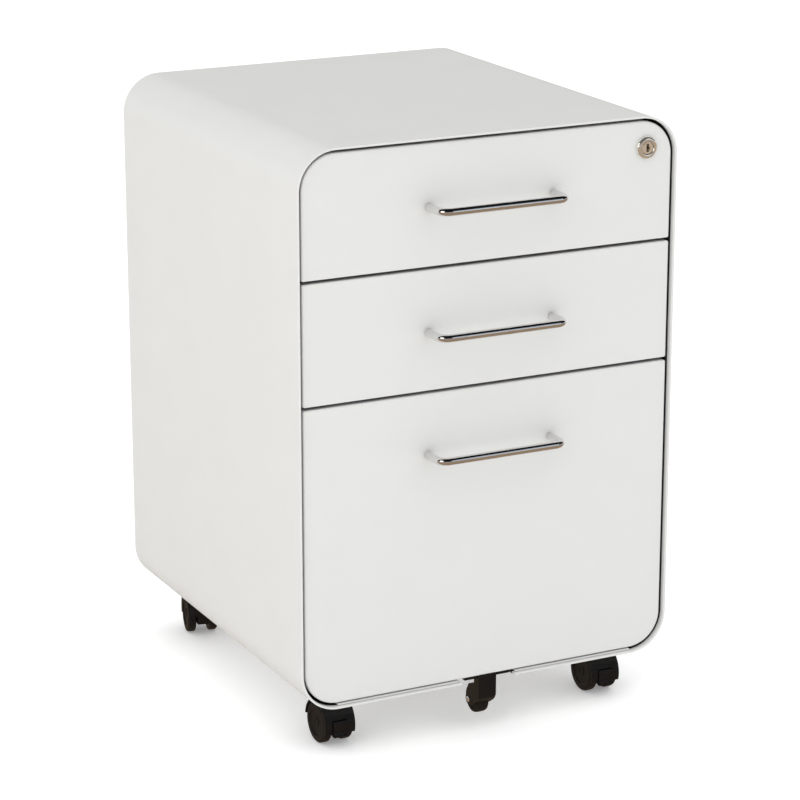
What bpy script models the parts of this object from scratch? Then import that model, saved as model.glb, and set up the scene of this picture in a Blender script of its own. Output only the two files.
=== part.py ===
"""A three-drawer mobile pedestal filing cabinet in sheet steel, built as separate pieces that move.

Metres, +Z up, the fronts face -Y and the floor is at Z = 0. The overall box is centred on X and Y.
"""

import math

import bmesh
import bpy
from mathutils import Matrix

# ---------------------------------------------------------------- driving dimensions

CASE_WIDTH = 0.390
CASE_DEPTH = 0.410
CASE_TOP = 0.580
CASE_BOTTOM = 0.0505
CASE_RADIUS = 0.038
SHEET = 0.0012
RIM = 0.0022
RIM_DEPTH = 0.012
JOINT_GAP = 0.0003

FRONT_GAP = 0.003
FRONT_INSET = 0.003
FRONT_DEPTH = 0.016
BOX_FRONT_HEIGHT = 0.1135

HANDLE_PITCH = 0.128
HANDLE_REACH = 0.0272
HANDLE_ROD = 0.0040
HANDLE_BEND = 0.009
HANDLE_DROP = 0.058

SLIDE_THICKNESS = 0.0125
SLIDE_LENGTH = 0.350
SLIDE_SETBACK = 0.034

CASTER_WHEEL = 0.020
CASTER_HOOD = 0.0225
CASTER_HALF_WIDTH = 0.0156
CASTER_TRAIL = 0.015
CASTER_X = 0.144
FRONT_CASTER_SETBACK = 0.063
REAR_CASTER_SETBACK = 0.055

LOCK_X = 0.1625
LOCK_DROP = 0.025
LOCK_STROKE = 0.012

# ---------------------------------------------------------------- worked-out places

HANDLE_OVERHANG = HANDLE_REACH + HANDLE_ROD - FRONT_INSET
CASE_FRONT = HANDLE_OVERHANG - (CASE_DEPTH + HANDLE_OVERHANG) / 2
CASE_BACK = CASE_FRONT + CASE_DEPTH
CASE_SIDE = CASE_WIDTH / 2

FRONT_FACE = CASE_FRONT + FRONT_INSET
FRONT_REAR = FRONT_FACE + FRONT_DEPTH
FRONT_SIDE = CASE_SIDE - RIM - FRONT_GAP
FRONT_RADIUS = CASE_RADIUS - RIM - FRONT_GAP

TOP_FRONT = (CASE_TOP - RIM - FRONT_GAP - BOX_FRONT_HEIGHT, CASE_TOP - RIM - FRONT_GAP)
MIDDLE_FRONT = (TOP_FRONT[0] - FRONT_GAP - BOX_FRONT_HEIGHT, TOP_FRONT[0] - FRONT_GAP)
FILE_FRONT = (CASE_BOTTOM + RIM + FRONT_GAP, MIDDLE_FRONT[0] - FRONT_GAP)

LINER_FACE = 0.1848
SLIDE_OUTSIDE = LINER_FACE - JOINT_GAP
TRAY_SIDE = SLIDE_OUTSIDE - SLIDE_THICKNESS - JOINT_GAP
TRAY_FRONT = FRONT_REAR + JOINT_GAP
TRAY_BACK = CASE_BACK - 0.030
SLIDE_FRONT = CASE_FRONT + SLIDE_SETBACK

LOCK_Z = TOP_FRONT[1] - LOCK_DROP

# Each drawer: its front's bottom and top, its tray's bottom and top, its slides' mid-height.
DRAWERS = {
    "top": (TOP_FRONT, (0.4700, 0.5480), 0.500),
    "middle": (MIDDLE_FRONT, (0.3530, 0.4310), 0.383),
    "file": (FILE_FRONT, (0.0640, 0.3050), 0.165),
}
# The top of the lock catch on each tray.
CATCH_TOPS = {"top": 0.528, "middle": 0.411, "file": 0.262}


# ---------------------------------------------------------------- scene and materials

for old in list(bpy.data.objects):
    bpy.data.objects.remove(old)

parts = bpy.data.collections.new("filing_cabinet")
cutters = bpy.data.collections.new("cutters")
bpy.context.scene.collection.children.link(parts)
bpy.context.scene.collection.children.link(cutters)
cutters.hide_render = True


def paint(name, colour, roughness, metallic=0.0):
    """A plain Principled material."""
    made = bpy.data.materials.new(name)
    made.use_nodes = True
    shader = made.node_tree.nodes["Principled BSDF"]
    shader.inputs["Base Color"].default_value = (*colour, 1.0)
    shader.inputs["Roughness"].default_value = roughness
    shader.inputs["Metallic"].default_value = metallic
    return made


WHITE = (0.80, 0.80, 0.78)
INSIDE_WHITE = (0.74, 0.74, 0.73)
ZINC = (0.62, 0.64, 0.67)
CHROME = (0.78, 0.78, 0.79)
NICKEL = (0.72, 0.69, 0.63)
BLACK = (0.020, 0.020, 0.021)
NYLON = (0.70, 0.70, 0.66)


# ---------------------------------------------------------------- modelling tools


def keep(obj, material):
    """Makes obj a finished sub-part with its own material."""
    obj.data.materials.clear()
    obj.data.materials.append(material)
    obj.hide_render = False
    obj.display_type = "TEXTURED"
    for owner in list(obj.users_collection):
        owner.objects.unlink(obj)
    parts.objects.link(obj)
    return obj


def helper(obj):
    """Puts obj with the shapes that only cut or join."""
    obj.hide_render = True
    obj.display_type = "WIRE"
    cutters.objects.link(obj)
    return obj


def mesh_object(name, form):
    """A helper object that holds the bmesh form."""
    mesh = bpy.data.meshes.new(name)
    form.to_mesh(mesh)
    form.free()
    return helper(bpy.data.objects.new(name, mesh))


def block(name, x, y, z):
    """A box between two values on each axis."""
    form = bmesh.new()
    bmesh.ops.create_cube(form, size=1.0)
    spans = [sorted(span) for span in (x, y, z)]
    for vertex in form.verts:
        for axis, (low, high) in enumerate(spans):
            vertex.co[axis] = low if vertex.co[axis] < 0 else high
    return mesh_object(name, form)


def rounded_block(name, x, y, z, radius, corners=("top", "bottom"), segments=8):
    """A block whose edges along Y are rounded at its top corners, its bottom corners or both."""
    obj = block(name, x, y, z)
    form = bmesh.new()
    form.from_mesh(obj.data)
    middle = (z[0] + z[1]) / 2
    edges = []
    for edge in form.edges:
        first, second = (vertex.co for vertex in edge.verts)
        side = "top" if first.z > middle else "bottom"
        if abs(first.y - second.y) > (y[1] - y[0]) / 2 and side in corners:
            edges.append(edge)
    bmesh.ops.bevel(form, geom=edges, offset=radius, segments=segments, profile=0.5, affect="EDGES")
    form.to_mesh(obj.data)
    form.free()
    return obj


def cylinder(name, radius, centre, axis, span, segments=32):
    """A cylinder along one axis, from span[0] to span[1] on it, round the other two values of centre."""
    form = bmesh.new()
    bmesh.ops.create_cone(
        form,
        cap_ends=True,
        segments=segments,
        radius1=radius,
        radius2=radius,
        depth=span[1] - span[0],
    )
    for vertex in form.verts:
        across, up, along = vertex.co.x, vertex.co.y, vertex.co.z + (span[0] + span[1]) / 2
        if axis == "X":
            vertex.co = (along, centre[1] + across, centre[2] + up)
        elif axis == "Y":
            vertex.co = (centre[0] + up, along, centre[2] + across)
        else:
            vertex.co = (centre[0] + across, centre[1] + up, along)
    return mesh_object(name, form)


def combine(base, operation, others):
    """Adds one Boolean to base for each of the others."""
    for other in others:
        step = base.modifiers.new(other.name, "BOOLEAN")
        step.operation = operation
        step.solver = "EXACT"
        step.object = other
    return base


def cut(base, *others):
    return combine(base, "DIFFERENCE", others)


def join(base, *others):
    return combine(base, "UNION", others)


def finished_mesh(obj):
    """The mesh that obj's modifiers give, for copies to share. The object and its helpers are removed."""
    used = [step.object for step in obj.modifiers if step.type == "BOOLEAN"]
    graph = bpy.context.evaluated_depsgraph_get()
    mesh = bpy.data.meshes.new_from_object(obj.evaluated_get(graph))
    for spent in [obj, *used]:
        bpy.data.objects.remove(spent)
    mesh.shade_smooth()
    mesh.set_sharp_from_angle(angle=math.radians(35))
    return mesh


def turned(name, profile, steps=32):
    """A shape turned about local Z. The profile's (radius, height) points run down its outer side."""
    mesh = bpy.data.meshes.new(name)
    edges = [(i, i + 1) for i in range(len(profile) - 1)]
    if profile[0][0] > 0:
        edges.append((len(profile) - 1, 0))
    mesh.from_pydata([(radius, 0.0, height) for radius, height in profile], edges, [])
    obj = helper(bpy.data.objects.new(name, mesh))
    turn = obj.modifiers.new("turn", "SCREW")
    turn.steps = steps
    turn.render_steps = steps
    turn.use_merge_vertices = True
    turn.merge_threshold = 0.00001
    turn.use_smooth_shade = True
    return obj


def outline(name, points, span, axis):
    """A flat outline of points, given a thickness along Y, or along Z where it is placed later."""
    curve = bpy.data.curves.new(name, "CURVE")
    curve.dimensions = "2D"
    curve.fill_mode = "BOTH"
    curve.extrude = (span[1] - span[0]) / 2
    spline = curve.splines.new("POLY")
    spline.points.add(len(points) - 1)
    for point, (across, up) in zip(spline.points, points):
        point.co = (across, up, 0.0, 1.0)
    spline.use_cyclic_u = True
    obj = bpy.data.objects.new(name, curve)
    if axis == "Y":
        obj.rotation_euler = (math.radians(90), 0.0, 0.0)
        obj.location.y = (span[0] + span[1]) / 2
    cutters.objects.link(obj)
    return obj


def sideways_outline(name, points, span, place):
    """A flat outline of (y, z) points from place, given a thickness along X, as a welded mesh object."""
    flat = outline(name, points, span, "Z")
    graph = bpy.context.evaluated_depsgraph_get()
    mesh = bpy.data.meshes.new_from_object(flat.evaluated_get(graph))
    bpy.data.objects.remove(flat)
    form = bmesh.new()
    form.from_mesh(mesh)
    bmesh.ops.remove_doubles(form, verts=form.verts, dist=0.00001)
    for vertex in form.verts:
        vertex.co = (place[0] + vertex.co.z, place[1] + vertex.co.x, place[2] + vertex.co.y)
    bmesh.ops.recalc_face_normals(form, faces=form.faces)
    return mesh_object(name, form)


def hang_on(obj, parent):
    """Parents obj to an empty and leaves it where it is."""
    bpy.context.view_layer.update()
    obj.parent = parent
    obj.matrix_parent_inverse = parent.matrix_world.inverted()
    return obj


def empty(name, location, turn=0.0):
    """A joint's place: what moves on the joint hangs on it."""
    made = bpy.data.objects.new(name, None)
    made.location = location
    made.rotation_euler = (0.0, 0.0, math.radians(turn))
    made.empty_display_size = 0.02
    parts.objects.link(made)
    bpy.context.view_layer.update()
    return made


# ---------------------------------------------------------------- case


def build_case():
    """The wrapped shell, its back, the base plate inside it and a liner on each side."""
    whole_depth = (CASE_FRONT - 0.01, CASE_BACK + 0.01)

    def ring(name, inset, depth):
        return rounded_block(
            name,
            (-CASE_SIDE + inset, CASE_SIDE - inset),
            depth,
            (CASE_BOTTOM + inset, CASE_TOP - inset),
            CASE_RADIUS - inset,
        )

    notch_half_width = 0.0283
    notch_depth = 0.036
    shell = ring("case_shell", 0.0, (CASE_FRONT, CASE_BACK))
    cut(
        shell,
        ring("shell_inside_rims", RIM, whole_depth),
        ring("shell_inside", SHEET, (CASE_FRONT + RIM_DEPTH, CASE_BACK - RIM_DEPTH)),
        block(
            "shell_notch",
            (-notch_half_width, notch_half_width),
            (CASE_FRONT - 0.01, CASE_FRONT + notch_depth),
            (CASE_BOTTOM - 0.01, CASE_BOTTOM + 0.01),
        ),
    )
    keep(shell, paint("case_shell", WHITE, 0.42))

    back_outside = CASE_BACK - 0.003
    back_inside = back_outside - 0.010
    back_gap = RIM + JOINT_GAP
    back = ring("back_panel", back_gap, (back_inside, back_outside))
    cut(back, ring("back_hollow", back_gap + SHEET, (back_inside - 0.01, back_outside - SHEET)))
    keep(back, paint("back_panel", WHITE, 0.45))

    base_side = CASE_SIDE - CASE_RADIUS
    base_low = CASE_BOTTOM + RIM + JOINT_GAP
    base_floor = base_low + 0.0015
    base_wall_top = base_low + 0.009
    base_front = FRONT_FACE
    base_back = CASE_BACK - 0.016
    base = block("base_plate", (-base_side, base_side), (base_front, base_back), (base_low, base_wall_top))
    cut(
        base,
        block(
            "base_hollow",
            (-base_side + SHEET, base_side - SHEET),
            (base_front - 0.01, base_back - SHEET),
            (base_floor, base_wall_top + 0.01),
        ),
        block(
            "base_front_lip",
            (-CASE_SIDE, CASE_SIDE),
            (base_front - 0.01, FRONT_REAR + 0.002),
            (base_floor, base_wall_top + 0.01),
        ),
        block(
            "base_notch",
            (-notch_half_width - 0.002, notch_half_width + 0.002),
            (base_front - 0.01, CASE_FRONT + notch_depth + 0.002),
            (base_low - 0.01, base_low + 0.01),
        ),
    )
    keep(base, paint("base_plate", INSIDE_WHITE, 0.45))

    liner_z = (CASE_BOTTOM + CASE_RADIUS + 0.006, CASE_TOP - CASE_RADIUS - 0.006)
    liner_y = (SLIDE_FRONT, CASE_BACK - 0.016)
    liner_back = CASE_SIDE - SHEET - JOINT_GAP
    for side, sign in (("left", -1), ("right", 1)):
        liner = block(f"{side}_side_liner", (sign * LINER_FACE, sign * liner_back), liner_y, liner_z)
        hollow = block(
            f"{side}_liner_hollow",
            (sign * (LINER_FACE + SHEET), sign * (liner_back + 0.01)),
            (liner_y[0] + SHEET, liner_y[1] - SHEET),
            (liner_z[0] - 0.01, liner_z[1] + 0.01),
        )
        cut(liner, hollow)
        keep(liner, paint(f"{side}_side_liner", INSIDE_WHITE, 0.45))


# ---------------------------------------------------------------- slides

SLIDE_METAL = 0.0012


def channel(name, sign, web, reach, half_height, lip, centre_z, y):
    """A folded channel along Y: its web stands at depth web, and its flanges run from there to depth reach.

    A depth is measured from the side liner towards the drawer.
    """
    metal = math.copysign(SLIDE_METAL, reach - web)
    inner = half_height - SLIDE_METAL
    half = [(web, half_height), (reach, half_height)]
    if lip:
        half += [(reach, inner - lip), (reach - metal, inner - lip), (reach - metal, inner)]
    else:
        half.append((reach, inner))
    half.append((web + metal, inner))
    loop = half + [(depth, -up) for depth, up in reversed(half)]
    points = [(sign * (SLIDE_OUTSIDE - depth), centre_z + up) for depth, up in loop]
    return keep(outline(name, points, y, "Y"), paint(name, ZINC, 0.34, 1.0))


def build_slides(drawer, centre_z, moving, middles):
    """The pair of ball slides of one drawer: two members a side, or three on the file drawer."""
    full_length = (SLIDE_FRONT, SLIDE_FRONT + SLIDE_LENGTH)
    for side, sign in (("left", -1), ("right", 1)):
        name = f"{side}_{drawer}_slide"
        if drawer == "file":
            channel(f"{name}_case_member", sign, 0.0, 0.0110, 0.0225, 0.0030, centre_z, full_length)
            shorter = (full_length[0], full_length[1] - 0.020)
            link = channel(f"{name}_middle_member", sign, 0.0030, 0.0098, 0.0165, 0.0020, centre_z, shorter)
            hang_on(link, middles)
            inner = channel(
                f"{name}_drawer_member", sign, SLIDE_THICKNESS, 0.0054, 0.0115, 0.0, centre_z, full_length
            )
        else:
            channel(f"{name}_case_member", sign, 0.0, 0.0105, 0.0175, 0.0025, centre_z, full_length)
            inner = channel(
                f"{name}_drawer_member", sign, SLIDE_THICKNESS, 0.0030, 0.0110, 0.0, centre_z, full_length
            )
        hang_on(inner, moving)


# ---------------------------------------------------------------- drawers


def build_front(drawer, z, moving):
    """A pressed pan that is open at the back. Its outer corners follow the case."""
    corners = {"top": ("top",), "middle": (), "file": ("bottom",)}[drawer]
    name = f"{drawer}_drawer_front"
    pan = rounded_block(name, (-FRONT_SIDE, FRONT_SIDE), (FRONT_FACE, FRONT_REAR), z, FRONT_RADIUS, corners)
    hollow = rounded_block(
        f"{name}_hollow",
        (-FRONT_SIDE + SHEET, FRONT_SIDE - SHEET),
        (FRONT_FACE + SHEET, FRONT_REAR + 0.01),
        (z[0] + SHEET, z[1] - SHEET),
        FRONT_RADIUS - SHEET,
        corners,
    )
    cut(pan, hollow)
    if drawer == "top":
        hole_span = (FRONT_FACE - 0.01, FRONT_FACE + 0.01)
        cut(pan, cylinder("lock_hole", 0.0098, (LOCK_X, 0.0, LOCK_Z), "Y", hole_span))
    keep(pan, paint(name, WHITE, 0.42))
    hang_on(pan, moving)


def build_tray(drawer, z, moving):
    """An open sheet-steel box, with the catch that the lock bar holds on its right side."""
    name = f"{drawer}_drawer_tray"
    tray = block(name, (-TRAY_SIDE, TRAY_SIDE), (TRAY_FRONT, TRAY_BACK), z)
    catch_front = CASE_FRONT + 0.0275
    catch = block(
        f"{drawer}_catch",
        (TRAY_SIDE - SHEET / 2, TRAY_SIDE + 0.0078),
        (catch_front, catch_front + 0.002),
        (CATCH_TOPS[drawer] - 0.012, CATCH_TOPS[drawer]),
    )
    hollow = block(
        f"{drawer}_tray_hollow",
        (-TRAY_SIDE + SHEET, TRAY_SIDE - SHEET),
        (TRAY_FRONT + SHEET, TRAY_BACK - SHEET),
        (z[0] + SHEET, z[1] + 0.01),
    )
    join(tray, catch)
    cut(tray, hollow)
    keep(tray, paint(name, INSIDE_WHITE, 0.45))
    hang_on(tray, moving)


def build_handle(drawer, front_top, moving):
    """One chromed rod, bent back to the front at both ends."""
    name = f"{drawer}_drawer_handle"
    half = HANDLE_PITCH / 2
    bar_y = FRONT_FACE - HANDLE_REACH
    wall_y = FRONT_FACE - JOINT_GAP
    bend_steps = 6
    right = []
    for step in range(bend_steps + 1):
        angle = math.radians(90 * step / bend_steps)
        across = half - HANDLE_BEND + HANDLE_BEND * math.sin(angle)
        out = bar_y + HANDLE_BEND - HANDLE_BEND * math.cos(angle)
        right.append((across, out))
    right.append((half, wall_y))
    path = [(-across, out) for across, out in reversed(right)] + right

    curve = bpy.data.curves.new(name, "CURVE")
    curve.dimensions = "3D"
    curve.bevel_depth = HANDLE_ROD
    curve.bevel_resolution = 3
    curve.use_fill_caps = True
    spline = curve.splines.new("POLY")
    spline.points.add(len(path) - 1)
    for point, (across, out) in zip(spline.points, path):
        point.co = (across, out, 0.0, 1.0)
    handle = bpy.data.objects.new(name, curve)
    handle.location.z = front_top - HANDLE_DROP
    cutters.objects.link(handle)
    keep(handle, paint(name, CHROME, 0.08, 1.0))
    hang_on(handle, moving)


def build_file_rails(tray_top, moving):
    """The two folded rails that hanging files hook onto."""
    outside = TRAY_SIDE - SHEET - JOINT_GAP
    inside = 0.1580
    shelf = tray_top - 0.010
    fold = [
        (outside, shelf - 0.016),
        (outside, shelf + SHEET),
        (inside + SHEET, shelf + SHEET),
        (inside + SHEET, shelf + 0.009),
        (inside, shelf + 0.009),
        (inside, shelf),
        (outside - SHEET, shelf),
        (outside - SHEET, shelf - 0.016),
    ]
    span = (TRAY_FRONT + SHEET + JOINT_GAP, TRAY_BACK - SHEET - JOINT_GAP)
    for side, sign in (("left", -1), ("right", 1)):
        name = f"{side}_file_rail"
        rail = outline(name, [(sign * across, up) for across, up in fold], span, "Y")
        keep(rail, paint(name, ZINC, 0.36, 1.0))
        hang_on(rail, moving)


def build_drawers():
    middles = empty("file_slide_middle", (0.0, SLIDE_FRONT, DRAWERS["file"][2]))
    for drawer, (front_z, tray_z, slide_z) in DRAWERS.items():
        moving = empty(f"{drawer}_drawer", (0.0, FRONT_FACE, slide_z))
        build_front(drawer, front_z, moving)
        build_tray(drawer, tray_z, moving)
        build_handle(drawer, front_z[1], moving)
        build_slides(drawer, slide_z, moving, middles)
        if drawer == "top":
            build_lock(moving)
        if drawer == "file":
            build_file_rails(tray_z[1], moving)
            build_anti_tip(moving)


# ---------------------------------------------------------------- lock


def build_lock(moving):
    """The cam lock in the top front. Its plug and cam turn together on one empty."""
    turn_to_front = (math.radians(90), 0.0, 0.0)
    place = (LOCK_X, FRONT_FACE, LOCK_Z)
    bore = 0.0063
    housing_profile = [
        (bore, 0.0036),
        (0.0082, 0.0036),
        (0.0088, 0.0030),
        (0.0088, 0.0023),
        (0.0105, 0.0023),
        (0.0110, 0.0018),
        (0.0110, JOINT_GAP),
        (0.0095, JOINT_GAP),
        (0.0095, -0.0105),
        (bore, -0.0105),
    ]
    housing = turned("lock_housing", housing_profile)
    housing.rotation_euler = turn_to_front
    housing.location = place
    keep(housing, paint("lock_housing", NICKEL, 0.16, 1.0))
    hang_on(housing, moving)

    plug_turn = empty("lock_turn", place)
    hang_on(plug_turn, moving)
    plug_radius = bore - JOINT_GAP
    plug_end = -0.0120
    plug_face = 0.0032
    plug_profile = [(0.0, plug_face), (plug_radius, plug_face), (plug_radius, plug_end), (0.0, plug_end)]
    plug = turned("lock_plug", plug_profile)
    keyway = block("keyway", (-0.001, 0.001), (-0.0038, 0.0038), (-0.006, 0.01))
    cut(plug, keyway)
    shape = finished_mesh(plug)
    plug = bpy.data.objects.new("lock_plug", shape)
    plug.rotation_euler = turn_to_front
    plug.location = place
    keep(plug, paint("lock_plug", NICKEL, 0.20, 1.0))
    hang_on(plug, plug_turn)

    cam_half_width = 0.004
    cam_length = 0.018
    cam_front = FRONT_FACE - plug_end + JOINT_GAP
    arc_steps = 8
    points = []
    for centre, start in ((cam_length - cam_half_width, 0), (0.0, 180)):
        for step in range(arc_steps + 1):
            angle = math.radians(start + 180 * step / arc_steps)
            points.append((cam_half_width * math.cos(angle), centre + cam_half_width * math.sin(angle)))
    cam = outline("lock_cam", points, (cam_front, cam_front + 0.002), "Y")
    cam.location.x = LOCK_X
    cam.location.z = LOCK_Z
    keep(cam, paint("lock_cam", ZINC, 0.35, 1.0))
    hang_on(cam, plug_turn)


def build_lock_bar():
    """The bar that the cam pushes down. A hook on it then stands in front of each tray's catch."""
    bar_x = (0.1840, 0.1860)
    bar_y = (CASE_FRONT + 0.0225, CASE_FRONT + 0.0305)
    hook_x = (0.1745, 0.1850)
    hook_y = (bar_y[0] + 0.0002, bar_y[0] + 0.0040)
    pad_top = LOCK_Z - 0.0044 + LOCK_STROKE
    bar = block("lock_bar", bar_x, bar_y, (0.2440, pad_top + 0.004))
    pad_z = (pad_top - 0.003, pad_top)
    finger_x = (hook_x[0], hook_x[1] - 0.0030)
    finger_y = (CASE_FRONT + 0.0140, hook_y[1] - 0.0005)
    pieces = [
        block("cam_pad", hook_x, hook_y, pad_z),
        block("cam_finger", finger_x, finger_y, (pad_z[0] + 0.0002, pad_z[1] - 0.0002)),
    ]
    for drawer, catch_top in CATCH_TOPS.items():
        hook_z = (catch_top + 0.0025, catch_top + 0.0115)
        pieces.append(block(f"{drawer}_hook", hook_x, hook_y, hook_z))
    join(bar, *pieces)
    keep(bar, paint("lock_bar", ZINC, 0.36, 1.0))
    hang_on(bar, empty("lock_bar_slide", (bar_x[0], bar_y[0], LOCK_Z)))

    slot = 0.0003
    guide_z = (0.300, 0.330)
    guide = block(
        "lock_bar_guide",
        (bar_x[0] - 0.0028, bar_x[1] + 0.0028),
        (bar_y[0] - 0.0018, SLIDE_FRONT - JOINT_GAP),
        guide_z,
    )
    cut(
        guide,
        block(
            "guide_slot",
            (bar_x[0] - slot, bar_x[1] + slot),
            (bar_y[0] - slot, bar_y[1] + slot),
            (guide_z[0] - 0.01, guide_z[1] + 0.01),
        ),
    )
    keep(guide, paint("lock_bar_guide", NYLON, 0.5))


# ---------------------------------------------------------------- anti-tip wheel


def build_anti_tip(moving):
    """The fifth wheel, in a fork under the file drawer. It is off the floor unless the case tips."""
    half_width = 0.0095
    axle_y = CASE_FRONT + 0.0227
    axle_z = 0.0252
    wheel_radius = 0.0140
    wheel_half = 0.0058
    slot_half = wheel_half + 0.0004
    neck_top = FILE_FRONT[0] - JOINT_GAP
    axle = (0.0, axle_y, axle_z)

    neck_y = (CASE_FRONT + 0.0025, CASE_FRONT + 0.0120)
    fork = block("anti_tip_fork", (-half_width, half_width), neck_y, (0.0450, neck_top))
    arm_end = 0.0060
    arm = [(-0.0202, 0.0215), (-0.0202, 0.0089), (-0.0177, 0.0043), (-0.0128, 0.0), (-0.0054, -0.0048)]
    for angle in range(240, 391, 15):
        turn = math.radians(angle)
        arm.append((arm_end * math.cos(turn), arm_end * math.sin(turn)))
    arm += [(0.0012, 0.0150), (-0.0045, 0.0180), (-0.0107, 0.0200), (-0.0107, 0.0215)]
    arms = sideways_outline("fork_arms", arm, (-half_width + 0.0001, half_width - 0.0001), axle)
    flange_y = (CASE_FRONT + 0.0032, CASE_FRONT + 0.0310)
    flange = block("fork_flange", (-0.024, 0.024), flange_y, (neck_top - 0.002, neck_top))
    slot = cylinder("fork_slot", wheel_radius + 0.0006, axle, "X", (-slot_half, slot_half))
    bore = cylinder("fork_bore", 0.0022, axle, "X", (-0.02, 0.02), 20)
    join(fork, arms, flange)
    cut(fork, slot, bore)
    keep(fork, paint("anti_tip_fork", BLACK, 0.45))
    hang_on(fork, moving)

    spin = empty("anti_tip_spin", axle)
    hang_on(spin, moving)
    pin = 0.0019
    head_radius = 0.0030
    head_seat = half_width + JOINT_GAP
    head_top = half_width + 0.0020
    right_half = [
        (0.0, head_top),
        (head_radius * 0.7, head_top),
        (head_radius, head_seat + 0.0006),
        (head_radius, head_seat),
        (pin, head_seat),
    ]
    left_half = [(radius, -height) for radius, height in reversed(right_half)]
    rivet = turned("anti_tip_axle", right_half + left_half, 20)
    rivet.rotation_euler = (0.0, math.radians(90), 0.0)
    rivet.location = axle
    keep(rivet, paint("anti_tip_axle", CHROME, 0.2, 1.0))
    hang_on(rivet, moving)

    wheel_profile = [
        (0.0022, wheel_half),
        (wheel_radius - 0.0018, wheel_half),
        (wheel_radius - 0.0004, wheel_half - 0.0014),
        (wheel_radius, wheel_half - 0.0036),
    ]
    lower = [(radius, -height) for radius, height in reversed(wheel_profile)]
    wheel = turned("anti_tip_wheel", wheel_profile + lower)
    wheel.rotation_euler = (0.0, math.radians(90), 0.0)
    wheel.location = axle
    keep(wheel, paint("anti_tip_wheel", BLACK, 0.5))
    hang_on(wheel, spin)


# ---------------------------------------------------------------- casters

WHEEL_INSIDE = 0.0069
WEB_HALF = 0.0063
CASTER_TOP = CASE_BOTTOM - JOINT_GAP
PLATE_THICKNESS = 0.002
HOOD_TOP = CASTER_TOP - PLATE_THICKNESS - JOINT_GAP


def caster_plate_mesh():
    """The top plate with the pivot pin riveted into it, about the swivel axis."""
    half = 0.019
    plate_z = (CASTER_TOP - PLATE_THICKNESS, CASTER_TOP)
    plate = block("plate", (-half, half), (-half, half), plate_z)
    pin = cylinder("pin", 0.0035, (0.0, 0.0, 0.0), "Z", (0.027, CASTER_TOP - 0.0005), 24)
    return finished_mesh(join(plate, pin))


def caster_hood_mesh(braked):
    """The hood: a web between the wheels, a guard over them and a neck round the pivot pin.

    The axle lies forward of the pivot, at Y = -CASTER_TRAIL.
    """
    axle = (0.0, -CASTER_TRAIL, CASTER_WHEEL)
    width = (-CASTER_HALF_WIDTH, CASTER_HALF_WIDTH)
    hood = cylinder("hood", CASTER_HOOD, axle, "X", width, 40)
    neck_radius = 0.0095
    join(hood, cylinder("neck", neck_radius, (0.0, 0.0, 0.0), "Z", (0.024, HOOD_TOP), 28))
    wheel_room = CASTER_WHEEL + 0.0008
    for sign in (-1, 1):
        span = sorted((sign * WEB_HALF, sign * 0.03))
        cut(hood, cylinder(f"wheel_room_{sign}", wheel_room, axle, "X", span, 40))
        cut(
            hood,
            block(
                f"guard_end_{sign}",
                (sign * (WEB_HALF - 0.0001), sign * 0.03),
                (-CASTER_TRAIL + 0.004, 0.03),
                (-0.01, CASTER_WHEEL + 0.002),
            ),
        )
    cut(
        hood,
        block("hood_underside", (-0.03, 0.03), (-0.06, 0.03), (-0.01, 0.0133)),
        cylinder("pivot_bore", 0.0038, (0.0, 0.0, 0.0), "Z", (0.0255, 0.06), 24),
        cylinder("axle_bore", 0.0028, axle, "X", (-0.03, 0.03), 20),
    )
    if braked:
        recess_y = (-0.06, -CASTER_TRAIL - 0.0168)
        cut(hood, block("brake_recess", (-0.0082, 0.0082), recess_y, (0.005, 0.0272)))
    return finished_mesh(hood)


def caster_axle_mesh():
    radius = 0.0025
    end = WHEEL_INSIDE + 0.0059
    return finished_mesh(turned("axle", [(0.0, end), (radius, end), (radius, -end), (0.0, -end)], 20))


def caster_wheel_mesh():
    """A wheel with a closed outer face. Local +Z points out of the caster.

    It stands on a flat facet of its tread and not on a corner, so that it doesn't roll off by itself.
    """
    steps = 36
    half_step = math.pi / steps
    tread = CASTER_WHEEL / math.cos(half_step)
    outside = CASTER_HALF_WIDTH - 0.0001
    profile = [
        (0.0, outside - 0.0008),
        (0.0130, outside - 0.0008),
        (0.0150, outside),
        (0.0172, outside),
        (0.0190, outside - 0.0008),
        (tread, outside - 0.0024),
        (tread, WHEEL_INSIDE + 0.0020),
        (0.0188, WHEEL_INSIDE),
        (0.0028, WHEEL_INSIDE),
        (0.0028, outside - 0.0022),
        (0.0, outside - 0.0022),
    ]
    mesh = finished_mesh(turned("wheel", profile, steps))
    mesh.transform(Matrix.Rotation(half_step, 4, "Z"))
    return mesh


def brake_lever_mesh():
    """The curved pedal in the hood's front, about the wheel axle, with a lip for the toe."""
    inner = 0.0206
    outer = 0.0236
    lip = 0.0268
    half_width = 0.0075
    angles = {"bottom": -23, "lip": -11, "top": 16}

    def at(radius, angle):
        turn = math.radians(angle)
        return (-radius * math.cos(turn), radius * math.sin(turn))

    def arc(radius, start, end, steps=6):
        return [at(radius, start + (end - start) * step / steps) for step in range(steps + 1)]

    inside = arc(inner, angles["bottom"], angles["top"])
    outside = arc(outer, angles["top"], angles["lip"])
    toe = [at(lip, angles["lip"] - 3), at(lip, angles["bottom"] + 4), at(outer, angles["bottom"])]
    points = inside + outside + toe
    lever = sideways_outline("lever", points, (-half_width, half_width), (0.0, 0.0, 0.0))
    return finished_mesh(lever)


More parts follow.
